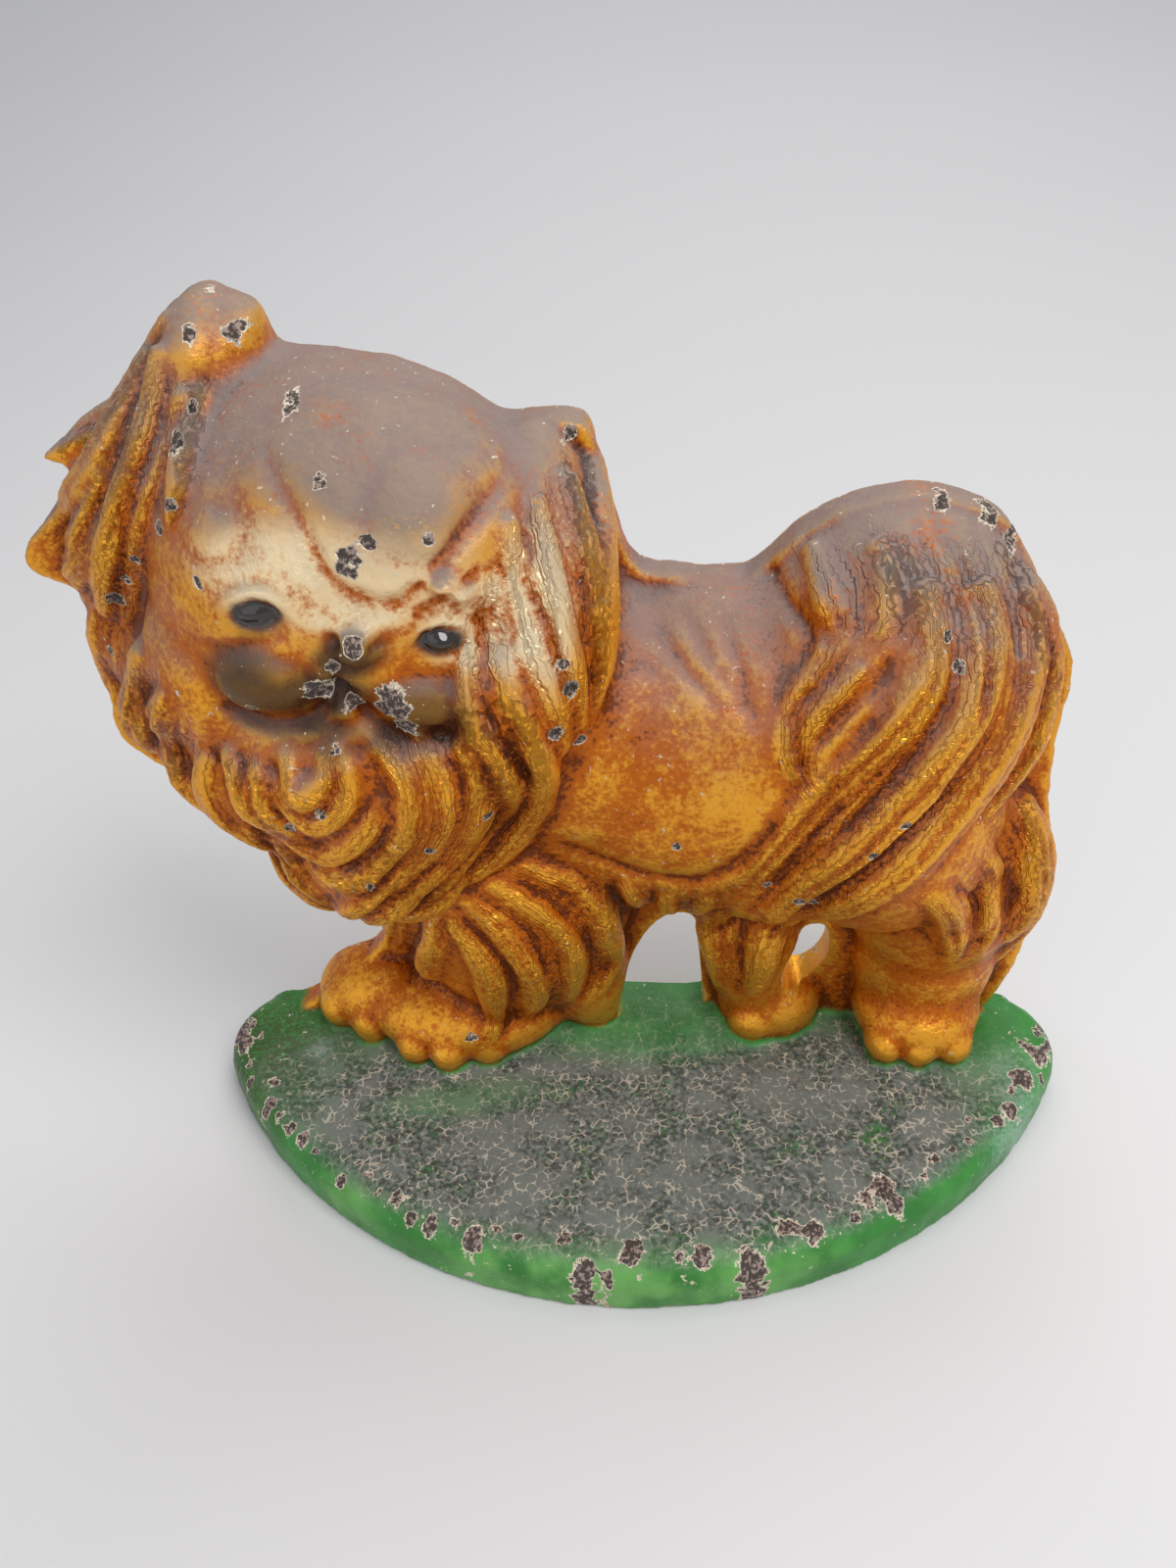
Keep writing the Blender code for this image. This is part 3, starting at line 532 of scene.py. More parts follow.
class Carver:
    """Places, shapes and cuts of the carving, in the sizes of the settings."""

    def __init__(self, sizes):
        self.sizes = sizes
        self.unit = sizes.unit
        self.home = collection("workbench")

    def at(self, x, y, z):
        return Vector((x * self.unit, y * self.unit, self.sizes.base_height + (z - STAND) * self.unit))

    def mesh_object(self, name, bm):
        mesh = bpy.data.meshes.new(name)
        bm.to_mesh(mesh)
        bm.free()
        made = bpy.data.objects.new(name, mesh)
        self.home.objects.link(made)
        return made

    def ellipsoids(self, bm, masses, less=0.0):
        for centre, radii, lean in masses.values():
            size = [max(r * self.unit - less, 0.001) for r in radii]
            place = Matrix.Translation(self.at(*centre)) @ Matrix.Rotation(radians(lean), 4, "Y")
            place = place @ Matrix.Diagonal((*size, 1.0))
            bmesh.ops.create_uvsphere(bm, u_segments=48, v_segments=28, radius=1.0, matrix=place)

    def box(self, name, low, high):
        bm = bmesh.new()
        low = Vector(low)
        high = Vector(high)
        place = Matrix.Translation((low + high) / 2) @ Matrix.Diagonal((*(high - low), 1.0))
        bmesh.ops.create_cube(bm, size=1.0, matrix=place)
        return self.mesh_object(name, bm)

    def prism(self, points, front, back):
        """A flat shape seen from the front, run from front to back along Y."""
        ring = [np.array(p, float) for p in points]
        ring = through([*ring, ring[0]], 4)[:-1]
        bm = bmesh.new()
        places = [self.at(x, 0, z) for x, z in ring]
        face = bm.faces.new([bm.verts.new((p.x, front, p.z)) for p in places])
        made = bmesh.ops.extrude_face_region(bm, geom=[face])
        ends = [v for v in made["geom"] if isinstance(v, bmesh.types.BMVert)]
        bmesh.ops.translate(bm, verts=ends, vec=(0, back - front, 0))
        bmesh.ops.recalc_face_normals(bm, faces=bm.faces)
        bmesh.ops.triangulate(bm, faces=bm.faces)
        return bm

    def base_outline(self, inset=0.0):
        """The half-moon seen from above: a front arc that runs into rounded ends."""
        sizes = self.sizes
        corner = sizes.base_corner
        corner_x = sizes.base_width / 2 - corner
        reach = sizes.base_depth - sizes.base_setback
        arc = (corner_x**2 + reach**2 - corner**2) / (2 * (reach - corner))
        centre_y = arc - sizes.base_depth
        meet = atan2(corner_x, centre_y + sizes.base_setback)
        back = acos((inset - sizes.base_setback) / (corner - inset))
        right = []
        for k in range(CORNER_STEPS + 1):
            a = back + (meet - back) * k / CORNER_STEPS
            right.append((
                corner_x + (corner - inset) * sin(a), -sizes.base_setback - (corner - inset) * cos(a)
            ))
        front = []
        for k in range(1, 2 * ARC_STEPS):
            a = meet * (1 - k / ARC_STEPS)
            front.append(((arc - inset) * sin(a), centre_y - (arc - inset) * cos(a)))
        return right + front + [(-x, y) for x, y in right[::-1]]

    def slab(self, ring, low, high):
        bm = bmesh.new()
        face = bm.faces.new([bm.verts.new((x, y, low)) for x, y in ring])
        made = bmesh.ops.extrude_face_region(bm, geom=[face])
        top = [v for v in made["geom"] if isinstance(v, bmesh.types.BMVert)]
        bmesh.ops.translate(bm, verts=top, vec=(0, 0, high - low))
        bmesh.ops.recalc_face_normals(bm, faces=bm.faces)
        return bm

    def base(self):
        """The base with its rim rounded, run on behind the flat back, where it is cut off."""
        sizes = self.sizes
        ring = self.base_outline()
        end = ring[0][0]
        behind = 2 * sizes.base_edge
        bm = self.slab([*ring, (-end, behind), (end, behind)], 0.0, sizes.base_height)
        rim = [e for e in bm.edges if all(v.co.z > sizes.base_height / 2 for v in e.verts)]
        bmesh.ops.bevel(bm, geom=rim, offset=sizes.base_edge, segments=8, profile=0.5, affect="EDGES")
        return bm


def through(points, steps=5):
    """Points of a smooth curve through the given ones (Catmull-Rom)."""
    ends = [2 * points[0] - points[1], *points, 2 * points[-1] - points[-2]]
    found = []
    for k in range(1, len(ends) - 2):
        p0, p1, p2, p3 = ends[k - 1 : k + 3]
        for step in range(steps):
            t = step / steps
            found.append(
                0.5 * (2 * p1 + (p2 - p0) * t + (2 * p0 - 5 * p1 + 4 * p2 - p3) * t**2
                + (3 * p1 - p0 - 3 * p2 + p3) * t**3)
            )
    return found + [points[-1]]


def oval(x, z, centre, radii, lean):
    """How far each point lies from the middle of a leaning oval, in its radii."""
    turn = radians(lean)
    dx = x - centre[0]
    dz = z - centre[1]
    level = (dx * cos(turn) - dz * sin(turn)) / radii[0]
    upright = (dx * sin(turn) + dz * cos(turn)) / radii[1]
    return np.hypot(level, upright)


def front_of_masses(x, z):
    """How far forward the masses stand at a place of the relief, as a Y in carving units."""
    front = -3.0
    for (cx, cy, cz), (rx, ry, rz), lean in MASSES.values():
        room = 1 - oval(x, z, (cx, cz), (rx, rz), lean) ** 2
        if room > 0:
            front = min(front, cy - ry * room**0.5)
    return front


def chance(*key):
    """A fixed number from 0 to 1 for a key, so that no two locks are alike."""
    total = sum((k + 1) * step for k, step in zip(key, (12.9898, 78.233, 37.719)))
    return abs(sin(total) * 43758.5453) % 1.0


def fan_line(first, last, share, sway, steps=5):
    """A line of a fan at a share from its first to its last, swaying a little."""
    line = [np.array(a, float) * (1 - share) + np.array(b, float) * share for a, b in zip(first, last)]
    line = through(line, steps)
    for s, place in zip(np.linspace(0, 1, len(line)), line):
        place += sway * sin(pi * s) * np.array(
            (sin(2 * pi * (1.3 * s + 2.1 * share)), cos(2 * pi * (1.1 * s + 1.7 * share)))
        )
    return line


def lock_lines(sway):
    """Every lock as its centre points, each with its radius, in carving units."""
    for fan, (first, last, count, radius, lift) in enumerate(FANS.values()):
        for k in range(count):
            line = fan_line(first, last, k / max(count - 1, 1), sway)
            line = line[int(0.15 * chance(fan, k, 1) * len(line)) :]
            front = np.array([front_of_masses(*p) for p in line])
            padded = np.pad(front, 2, mode="edge")
            front = sum(padded[i : i + len(front)] for i in range(5)) / 5
            swell = np.sin(pi * np.linspace(0.12, 0.92, len(line))) ** 0.6
            thick = radius * (0.88 + 0.28 * chance(fan, k, 2)) * swell
            own_lift = lift + 0.3 * (chance(fan, k, 3) - 0.5)
            depth = front - own_lift * thick + 0.5 * radius * (1 - swell)
            yield [(p[0], y, p[1], r) for p, y, r in zip(line, depth, thick)]


def lock_gaps(sway):
    """A groove along each gap between two neighbour locks of a fan."""
    for fan, (first, last, count, radius, lift) in enumerate(FANS.values()):
        for k in range(count - 1):
            line = fan_line(first, last, (k + 0.5) / (count - 1), sway)
            yield line, 0.6 + 0.12 * radius, (0.12 + 0.14 * chance(fan, k)) * radius


def baked(obj):
    """The object's mesh with its modifiers applied; they are removed."""
    graph = bpy.context.evaluated_depsgraph_get()
    mesh = bpy.data.meshes.new_from_object(obj.evaluated_get(graph))
    obj.modifiers.clear()
    if obj.type == "MESH":
        obj.data = mesh
    return mesh


def add_to(obj, bm):
    bm.from_mesh(obj.data)
    bm.to_mesh(obj.data)
    bm.free()


def one_skin(obj, voxel, smoothing):
    remesh = obj.modifiers.new("one skin", "REMESH")
    remesh.mode = "VOXEL"
    remesh.voxel_size = voxel
    smooth = obj.modifiers.new("soften", "SMOOTH")
    smooth.factor = 0.5
    smooth.iterations = smoothing
    baked(obj)


def cut(obj, other):
    boolean = obj.modifiers.new("cut", "BOOLEAN")
    boolean.operation = "DIFFERENCE"
    boolean.object = other
    boolean.solver = "MANIFOLD"
    baked(obj)
    bpy.data.objects.remove(other)


def thin_out(obj, triangles):
    """Keeps about this many triangles."""
    obj.data.calc_loop_triangles()
    fewer = obj.modifiers.new("fewer", "DECIMATE")
    fewer.ratio = min(1.0, triangles / len(obj.data.loop_triangles))
    baked(obj)


def points_of(mesh):
    """Places and normals of the mesh's points."""
    count = len(mesh.vertices)
    places = np.empty(count * 3)
    normals = np.empty(count * 3)
    mesh.vertices.foreach_get("co", places)
    mesh.vertices.foreach_get("normal", normals)
    return places.reshape(-1, 3), normals.reshape(-1, 3)


def relief_coordinates(places, sizes):
    return places[:, 0] / sizes.unit, (places[:, 2] - sizes.base_height) / sizes.unit + STAND


def carve(obj, sizes):
    """Presses the grooves into the skin along its normals, fading at their ends."""
    places, normals = points_of(obj.data)
    x, z = relief_coordinates(places, sizes)
    facing = np.clip(-normals[:, 1] * 2, 0, 1)
    moved = places.copy()
    lines = []
    for line, half, depth in GROOVES.values():
        lines.append((through([np.array(p, float) for p in line]), half, depth))
    for line, half, depth in [*lines, *lock_gaps(sizes.sway)]:
        low = np.min(line, axis=0) - 3 * half
        high = np.max(line, axis=0) + 3 * half
        here = np.flatnonzero((x > low[0]) & (x < high[0]) & (z > low[1]) & (z < high[1]) & (facing > 0))
        press = np.zeros(len(here))
        last = len(line) - 1
        for k, (a, b) in enumerate(zip(line, line[1:])):
            run = b - a
            t = np.clip(((x[here] - a[0]) * run[0] + (z[here] - a[1]) * run[1]) / (run @ run), 0, 1)
            near = np.hypot(x[here] - a[0] - t * run[0], z[here] - a[1] - t * run[1])
            fade = 0.35 + 0.65 * np.sin(pi * (k + t) / last) ** 0.5
            press = np.maximum(press, fade * np.exp(-((near / half) ** 2) * 1.5))
        press *= depth * facing[here]
        moved[here] -= normals[here] * (press * sizes.unit)[:, None]
    obj.data.vertices.foreach_set("co", moved.ravel())
    obj.data.update()


def hair_field(places, normals, sizes):
    """Where each point lies across its fan of locks, and how well inside the fan it is."""
    reach = 2.5
    samples = []
    for first, last, count, radius, _ in FANS.values():
        width = max(count - 1, 1)
        for across in np.linspace(-0.5, width + 0.5, 12 * width + 1):
            line = fan_line(first, last, across / width, sizes.sway, 8)
            for s, place in enumerate(line):
                edge = min(across + 0.5, width + 0.5 - across) * 2
                end = min(s, len(line) - 1 - s) / 4
                samples.append((*place, across * radius, min(edge, end, 1.0)))
    samples = np.array(samples)
    tree = KDTree(len(samples))
    for k, (px, pz) in enumerate(samples[:, :2]):
        tree.insert((px, pz, 0.0), k)
    tree.balance()
    x, z = relief_coordinates(places, sizes)
    across = np.zeros(len(places))
    inside = np.zeros(len(places))
    for k in np.flatnonzero(normals[:, 1] < -0.15):
        _, nearest, distance = tree.find((x[k], z[k], 0.0))
        if distance < reach:
            across[k] = samples[nearest, 2]
            inside[k] = samples[nearest, 3] * (1 - distance / reach)
    return across, np.clip(inside, 0, 1)


def comb(obj, sizes):
    """Presses fine strands along the locks."""
    places, normals = points_of(obj.data)
    across, inside = hair_field(places, normals, sizes)
    wave = np.abs(np.sin(pi * (across + 0.6 * np.sin(across)) * sizes.strands / 6))
    press = sizes.strand_depth * (1 - wave) ** 2 * inside
    places -= normals * press[:, None]
    obj.data.vertices.foreach_set("co", places.ravel())
    obj.data.update()


def roughen(obj, depth, size):
    """The grain that the moulding sand leaves."""
    grain = bpy.data.textures.new("sand grain", "CLOUDS")
    grain.noise_scale = size
    grain.noise_depth = 3
    displace = obj.modifiers.new("rough cast", "DISPLACE")
    displace.texture = grain
    displace.strength = depth
    displace.mid_level = 0.5
    baked(obj)


class Nodes:
    """Short calls for adding nodes to a tree and joining them."""

    def __init__(self, tree):
        self.tree = tree

    def link(self, value, socket):
        if isinstance(value, bpy.types.NodeSocket):
            self.tree.links.new(value, socket)
        else:
            socket.default_value = value

    def node(self, kind, inputs=(), **options):
        made = self.tree.nodes.new(kind)
        for key, value in options.items():
            setattr(made, key, value)
        for key, value in dict(inputs).items():
            self.link(value, made.inputs[key])
        return made

    def math(self, operation, *values, clamp=False):
        inputs = dict(enumerate(values))
        return self.node("ShaderNodeMath", inputs, operation=operation, use_clamp=clamp).outputs[0]


def input_named(group, name):
    for item in group.interface.items_tree:
        if item.name == name and item.in_out == "INPUT":
            return item.identifier
    raise KeyError(name)


def lock_tree(iron):
    """Sweeps a ridged ring along every guide line, as thick as the line's own radius."""
    tree = bpy.data.node_groups.new("ridged locks", "GeometryNodeTree")
    wanted = {"Guides": "Geometry", "Sides": "Int", "Ridges": "Int", "Ridge Depth": "Float"}
    for name, kind in wanted.items():
        tree.interface.new_socket(name, in_out="INPUT", socket_type=f"NodeSocket{kind}")
    tree.interface.new_socket("Locks", in_out="OUTPUT", socket_type="NodeSocketGeometry")
    n = Nodes(tree)
    given = n.node("NodeGroupInput").outputs
    ring = n.node("GeometryNodeCurvePrimitiveCircle", {"Resolution": given["Sides"], "Radius": 1.0})
    turn = n.math("DIVIDE", n.node("GeometryNodeInputIndex").outputs[0], given["Sides"])
    waves = n.math("MULTIPLY", n.math("MULTIPLY", turn, 2 * pi), given["Ridges"])
    swell = n.math("MULTIPLY_ADD", n.math("COSINE", waves), given["Ridge Depth"], 1.0)
    place = n.node("GeometryNodeInputPosition").outputs[0]
    scaled = n.node("ShaderNodeVectorMath", operation="SCALE")
    n.link(place, scaled.inputs[0])
    n.link(swell, scaled.inputs["Scale"])
    lobed = n.node(
        "GeometryNodeSetPosition",
        {"Geometry": ring.outputs["Curve"], "Position": scaled.outputs[0]})
    radius = n.node("GeometryNodeInputRadius").outputs[0]
    sweep = n.node(
        "GeometryNodeCurveToMesh",
        {"Curve": given["Guides"], "Profile Curve": lobed.outputs[0], "Scale": radius,
         "Fill Caps": True})
    whole = n.node("GeometryNodeRealizeInstances", {0: sweep.outputs[0]})
    finish = n.node("GeometryNodeSetMaterial", {0: whole.outputs[0], "Material": iron})
    n.node("NodeGroupOutput", {0: finish.outputs[0]})
    return tree


def locks_mesh(carver, iron):
    sizes = carver.sizes
    data = bpy.data.curves.new("lock guides", "CURVE")
    data.dimensions = "3D"
    for line in lock_lines(sizes.sway):
        spline = data.splines.new("POLY")
        spline.points.add(len(line) - 1)
        for point, (x, y, z, radius) in zip(spline.points, line):
            point.co = (*carver.at(x, y, z), 1.0)
            point.radius = radius * sizes.unit
    guides = bpy.data.objects.new("lock guides", data)
    carver.home.objects.link(guides)
    tree = lock_tree(iron)
    grow = guides.modifiers.new("ridged locks", "NODES")
    grow.node_group = tree
    grow[input_named(tree, "Sides")] = 32
    grow[input_named(tree, "Ridges")] = sizes.ridges
    grow[input_named(tree, "Ridge Depth")] = sizes.ridge_depth
    mesh = baked(guides)
    bpy.data.objects.remove(guides)
    return mesh


def neighbours_mean(values, edges, rounds):
    """The values smoothed over the mesh's edges this many times."""
    count = len(values)
    a, b = edges[:, 0], edges[:, 1]
    share = np.bincount(a, minlength=count) + np.bincount(b, minlength=count)
    for _ in range(rounds):
        summed = np.empty_like(values)
        for k in range(values.shape[1]):
            summed[:, k] = np.bincount(a, values[b, k], count) + np.bincount(b, values[a, k], count)
        values = 0.5 * values + 0.5 * summed / np.maximum(share, 1)[:, None]
    return values


def spots(x, z, table):
    """Soft ovals, summed and kept under one."""
    total = np.zeros(len(x))
    for *shape, strength in table:
        total += strength * np.clip(1.5 - oval(x, z, *shape) * 1.25, 0, 1)
    return np.clip(total, 0, 1)


def chip_spots(x, z, table):
    """Round spots of the chips, each one in its middle."""
    total = np.zeros(len(x))
    for (cx, cz), size in table:
        total = np.maximum(total, np.clip(1.6 - np.hypot(x - cx, z - cz) / size, 0, 1))
    return total


def rim_chips(carver, count=60):
    """Chips strung along the front rim of the base, of chance sizes."""
    for k in range(count):
        ring = carver.base_outline((0.2 + 1.1 * chance(k, 3)) * carver.sizes.base_edge)
        x, y = ring[int((0.08 + 0.84 * (k + chance(k, 1)) / count) * len(ring))]
        yield (x / carver.unit, y / carver.unit), 0.8 + 2.0 * chance(k, 2) ** 2


def hollows(mesh, places, normals):
    """From 0 on the ridges to 1 in the grooves, both fine and broad."""
    edges = np.empty(len(mesh.edges) * 2, int)
    mesh.edges.foreach_get("vertices", edges)
    edges = edges.reshape(-1, 2)
    near = neighbours_mean(places, edges, 6)
    wide = neighbours_mean(near, edges, 40)
    fine = ((near - places) * normals).sum(axis=1) / 0.00012
    broad = ((wide - places) * normals).sum(axis=1) / 0.0008
    return np.clip(0.5 + 0.22 * fine + 0.25 * broad, 0, 1)


def base_masks(x, y, z, normals):
    """Where the green paint lies, where it is worn off and where the rim is."""
    (mx, my, mz), (rx, ry, rz), _ = FEATURES["ground"]
    mound = mz + rz * np.clip(1 - ((x - mx) / rx) ** 2 - ((y - my) / ry) ** 2, 0, 1) ** 0.5
    base = np.clip((np.maximum(STAND, mound) + GREEN_LAP - z) / GREEN_FADE, 0, 1)
    side = np.clip(1.5 - oval(x, y, *WORN_MIDDLE) * 1.15, 0, 1)
    rim = base * (1 - np.clip(side * 2, 0, 1))
    dirt = np.clip(side * 2, 0, 1) * base * np.clip(normals[:, 2] * 3 - 2, 0, 1)
    return base, dirt * (1 - 0.75 * spots(x, y, GRASS_SPOTS)), rim


def eye_mask(x, z):
    eyes = np.zeros(len(x))
    for (cx, _, cz), (rx, _, rz), lean in EYES.values():
        eyes = np.maximum(eyes, (1.12 - oval(x, z, (cx, cz), (rx, rz), lean)) * 6)
    return np.clip(eyes, 0, 1)


def paint_masks(obj, carver):
    """Where each paint, wear and dirt lies, and where shade, highlight and sheen are painted, as colours
    on the mesh's points.
    """
    mesh = obj.data
    places, normals = points_of(mesh)
    x, z = relief_coordinates(places, carver.sizes)
    y = places[:, 1] / carver.unit
    front = np.clip(-y / 4, 0, 1) * np.clip(1.2 + normals[:, 1] * -4, 0, 1)
    base, dirt, rim = base_masks(x, y, z, normals)
    # Grey on what faces up: dust, and a painted sheen of the light from above.
    up = np.clip(normals[:, 2], 0, 1)
    dust_and_sheen = np.clip(up * 1.7 - 0.3, 0, 1) * np.clip((z - DUST_AND_SHEEN_FROM) / DUST_AND_SHEEN_OVER, 0, 1)
    dust_and_sheen = np.maximum(dust_and_sheen, spots(x, z, DUST_AND_SHEEN_SPOTS) * front)
    chip = chip_spots(x, z, CHIPS) * front * (1 - base)
    chip = np.maximum(chip, chip_spots(x, y, rim_chips(carver)) * base)
    chip = np.maximum(chip, 0.4 * np.clip(1 + y / 1.5, 0, 1) * (1 - base))
    across, inside = hair_field(places, normals, carver.sizes)
    layers = {
        "coat": (base, spots(x, z, DARK_SPOTS) * front, spots(x, z, PALE_PAINT_AND_HIGHLIGHT_SPOTS) * front),
        "wear_sheen_and_shade": (chip, dust_and_sheen, hollows(mesh, places, normals)),
        "spots": (eye_mask(x, z) * front, dirt, rim),
        # Painted shade at the left end, painted lit green along the front rim and painted sheen on the
        # base.
        "base_shade_and_light": [spots(x, y, table) for table in (SHADED_END_SPOTS, PAINTED_LIT_SPOTS, PAINTED_SHEEN_SPOTS)],
        "hair": (across, inside * (1 - base), inside),
    }
    for name, values in layers.items():
        layer = mesh.color_attributes.new(name, "FLOAT_COLOR", "POINT")
        rgba = np.stack([*values, np.ones(len(places))], axis=1)
        layer.data.foreach_set("color", rgba.ravel())


class Shader(Nodes):
    """Short calls for building a material's nodes."""

    def __init__(self, name):
        self.material = bpy.data.materials.new(name)
        self.material.use_nodes = True
        super().__init__(self.material.node_tree)
        self.bsdf = self.tree.nodes["Principled BSDF"]

    def times(self, *values):
        found = values[0]
        for value in values[1:]:
            found = self.math("MULTIPLY", found, value)
        return found

    def plus(self, *values):
        found = values[0]
        for value in values[1:]:
            found = self.math("ADD", found, value)
        return found

    def less(self, value):
        return self.math("SUBTRACT", 1.0, value, clamp=True)

    def step(self, value, low, high):
        """From 0 at low to 1 at high, smooth between."""
        made = self.node(
            "ShaderNodeMapRange", {"Value": value, "From Min": low, "From Max": high},
            interpolation_type="SMOOTHSTEP")
        return made.outputs["Result"]

    def mix(self, share, a, b):
        made = self.node("ShaderNodeMix", data_type="RGBA")
        self.link(share, made.inputs[0])
        self.link(colour(a), made.inputs[6])
        self.link(colour(b), made.inputs[7])
        return made.outputs[2]

    def noise(self, scale, detail=3.0, roughness=0.55, distortion=0.0):
        where = self.node("ShaderNodeTexCoord").outputs["Object"]
        made = self.node(
            "ShaderNodeTexNoise",
            {"Vector": where, "Scale": scale, "Detail": detail, "Roughness": roughness,
             "Distortion": distortion})
        return made.outputs["Fac"]

    def cells(self, scale, feature="DISTANCE_TO_EDGE"):
        where = self.node("ShaderNodeTexCoord").outputs["Object"]
        made = self.node("ShaderNodeTexVoronoi", {"Vector": where, "Scale": scale}, feature=feature)
        return made.outputs["Distance"]

    def masks(self, name):
        layer = self.node("ShaderNodeAttribute", attribute_name=name)
        return list(self.node("ShaderNodeSeparateColor", {"Color": layer.outputs["Color"]}).outputs)

    def bump(self, height, distance, strength, normal=None):
        inputs = {"Height": height, "Strength": strength, "Distance": distance}
        made = self.node("ShaderNodeBump", inputs)
        if normal is not None:
            self.link(normal, made.inputs["Normal"])
        return made.outputs[0]


def colour(value):
    if isinstance(value, bpy.types.NodeSocket):
        return value
    return (*value[:3], 1.0)


def shade_of(paint, share):
    return [share * v for v in paint]


class WornPaint(Shader):
    """Amber and green paint over iron, chipped, dusty and crackled, with painted shade, highlights and
    sheen.
    """

    def __init__(self, paint):
        super().__init__("worn paint on iron")
        self.paint = paint
        self.base, self.dark, self.pale_and_highlight = self.masks("coat")
        self.chip, self.dust_and_sheen, self.hollow = self.masks("wear_sheen_and_shade")
        self.eyes, self.dirt, self.rim = self.masks("spots")
        self.grain = self.noise(1100, 3.0, 0.6)
        self.patch = self.noise(90, 3.0)
        self.flakes = self.noise(420, 4.0, 0.6, 0.4)
        self.specks = self.noise(900, 2.0, 0.5)
        self.mottle = self.plus(self.grain, self.patch)
        self.strands = self.fine_hair()
        skin = self.mix(self.base, self.coat(), self.ground())
        self.link(self.chipped(skin), self.bsdf.inputs["Base Color"])
        self.gloss()
        self.relief()

    def fine_hair(self):
        """Waves of two widths across the locks, which wander along them."""
        across, inside, _ = self.masks("hair")
        wander = self.times(self.noise(60, 2.0), 9.0)
        coarse = self.math("SINE", self.plus(self.times(across, 6.0), wander))
        finer = self.math("SINE", self.plus(self.times(across, 15.0), wander))
        return self.times(self.plus(self.times(coarse, 0.6), self.times(finer, 0.4)), inside)

    def coat(self):
        """The dog: painted shade in the grooves, gold on the ridges that is partly a painted highlight,
        with cream, dust under a painted sheen, and black.
        """
        paint = self.paint
        grain = self.times(self.math("SUBTRACT", self.grain, 0.5), 1.3)
        patch = self.times(self.math("SUBTRACT", self.patch, 0.5), 0.9)
        # Pale spots lighten the coat: cream on the face, a painted highlight on the plume and flank.
        pale_and_highlight = self.times(self.pale_and_highlight, 0.3)
        # Towards the hollows the coat darkens to umber, painted shade partly standing for dirt; towards
        # the ridges it turns gold.
        tone = self.plus(self.less(self.hollow), grain, patch, pale_and_highlight, self.times(self.strands, 0.1))
        coat = self.mix(self.step(tone, 0.0, 0.34), paint.umber_and_shade, paint.amber)
        # Gold on the ridges: gilt paint and a painted highlight.
        self.gilt_and_highlight = self.step(tone, 0.42, 1.05)
        coat = self.mix(self.gilt_and_highlight, coat, paint.gold_and_highlight)
        creamy = self.times(self.step(self.pale_and_highlight, 0.35, 1.0), self.step(tone, 0.2, 1.1))
        coat = self.mix(creamy, coat, paint.cream)
        # Grey dust on what faces up, partly a painted sheen.
        self.dust_and_sheen_share = self.times(self.dust_and_sheen, self.step(self.mottle, 0.45, 1.0))
        coat = self.mix(self.times(self.dust_and_sheen_share, 0.9), coat, paint.dust_and_sheen)
        sprayed = self.step(self.plus(self.dark, self.grain), 0.6, 1.2)
        self.blackened = self.times(self.dark, sprayed)
        return self.mix(self.times(self.blackened, 0.88), coat, paint.black)

    def ground(self):
        """The base: green, with painted shade in olive at the left end, a painted lit green along the
        front rim and a painted sheen, worn and crackled in the middle.
        """
        paint = self.paint
        shaded_olive, painted_lit, painted_sheen = self.masks("base_shade_and_light")
        # Painted shade in olive at the left end.
        shaded_olive = self.times(shaded_olive, self.step(self.grain, 0.25, 0.6), 0.85)
        # A painted lit green along the front rim.
        painted_lit = self.times(painted_lit, self.step(self.patch, 0.3, 0.65), 0.8)
        # A painted sheen of reflected light on the green.
        painted_sheen = self.times(painted_sheen, self.step(self.mottle, 0.85, 1.15), 0.5)
        deep = self.step(self.patch, 0.35, 0.7)
        green = self.mix(deep, paint.green, shade_of(paint.green, 1.5))
        green = self.mix(painted_lit, green, paint.painted_lit_green)
        green = self.mix(shaded_olive, green, paint.shaded_olive)
        green = self.mix(painted_sheen, green, paint.painted_sheen_colour)
        speckled = self.step(self.specks, 0.38, 0.64)
        soil = self.mix(speckled, shade_of(paint.dirt, 0.5), shade_of(paint.dirt, 1.6))
        soil = self.mix(self.step(self.patch, 0.40, 0.65), soil, shade_of(paint.dirt, 1.5))
        self.worn = self.times(self.dirt, self.step(self.mottle, 0.58, 0.90))
        green = self.mix(self.worn, green, soil)
        crackle = self.times(self.step(self.cells(520), 0.10, 0.03), self.step(self.flakes, 0.45, 0.6))
        return self.mix(self.times(crackle, self.dirt, 0.55), green, paint.primer)

    def chipped(self, skin):
        """Flecks, chips with a pale edge round bare iron, and the black of the eyes."""
        paint = self.paint
        fleck = self.times(self.step(self.specks, 0.70, 0.74), self.less(self.hollow))
        skin = self.mix(self.times(fleck, 0.9), skin, paint.primer)
        self.loss = self.plus(self.times(self.chip, 0.42), self.times(self.rim, 0.05), self.flakes)
        skin = self.mix(self.step(self.loss, 0.71, 0.73), skin, paint.primer)
        self.bare = self.step(self.loss, 0.78, 0.80)
        metal = self.mix(self.step(self.grain, 0.48, 0.60), paint.iron, shade_of(paint.iron, 5))
        skin = self.mix(self.bare, skin, metal)
        return self.mix(self.eyes, skin, paint.black)

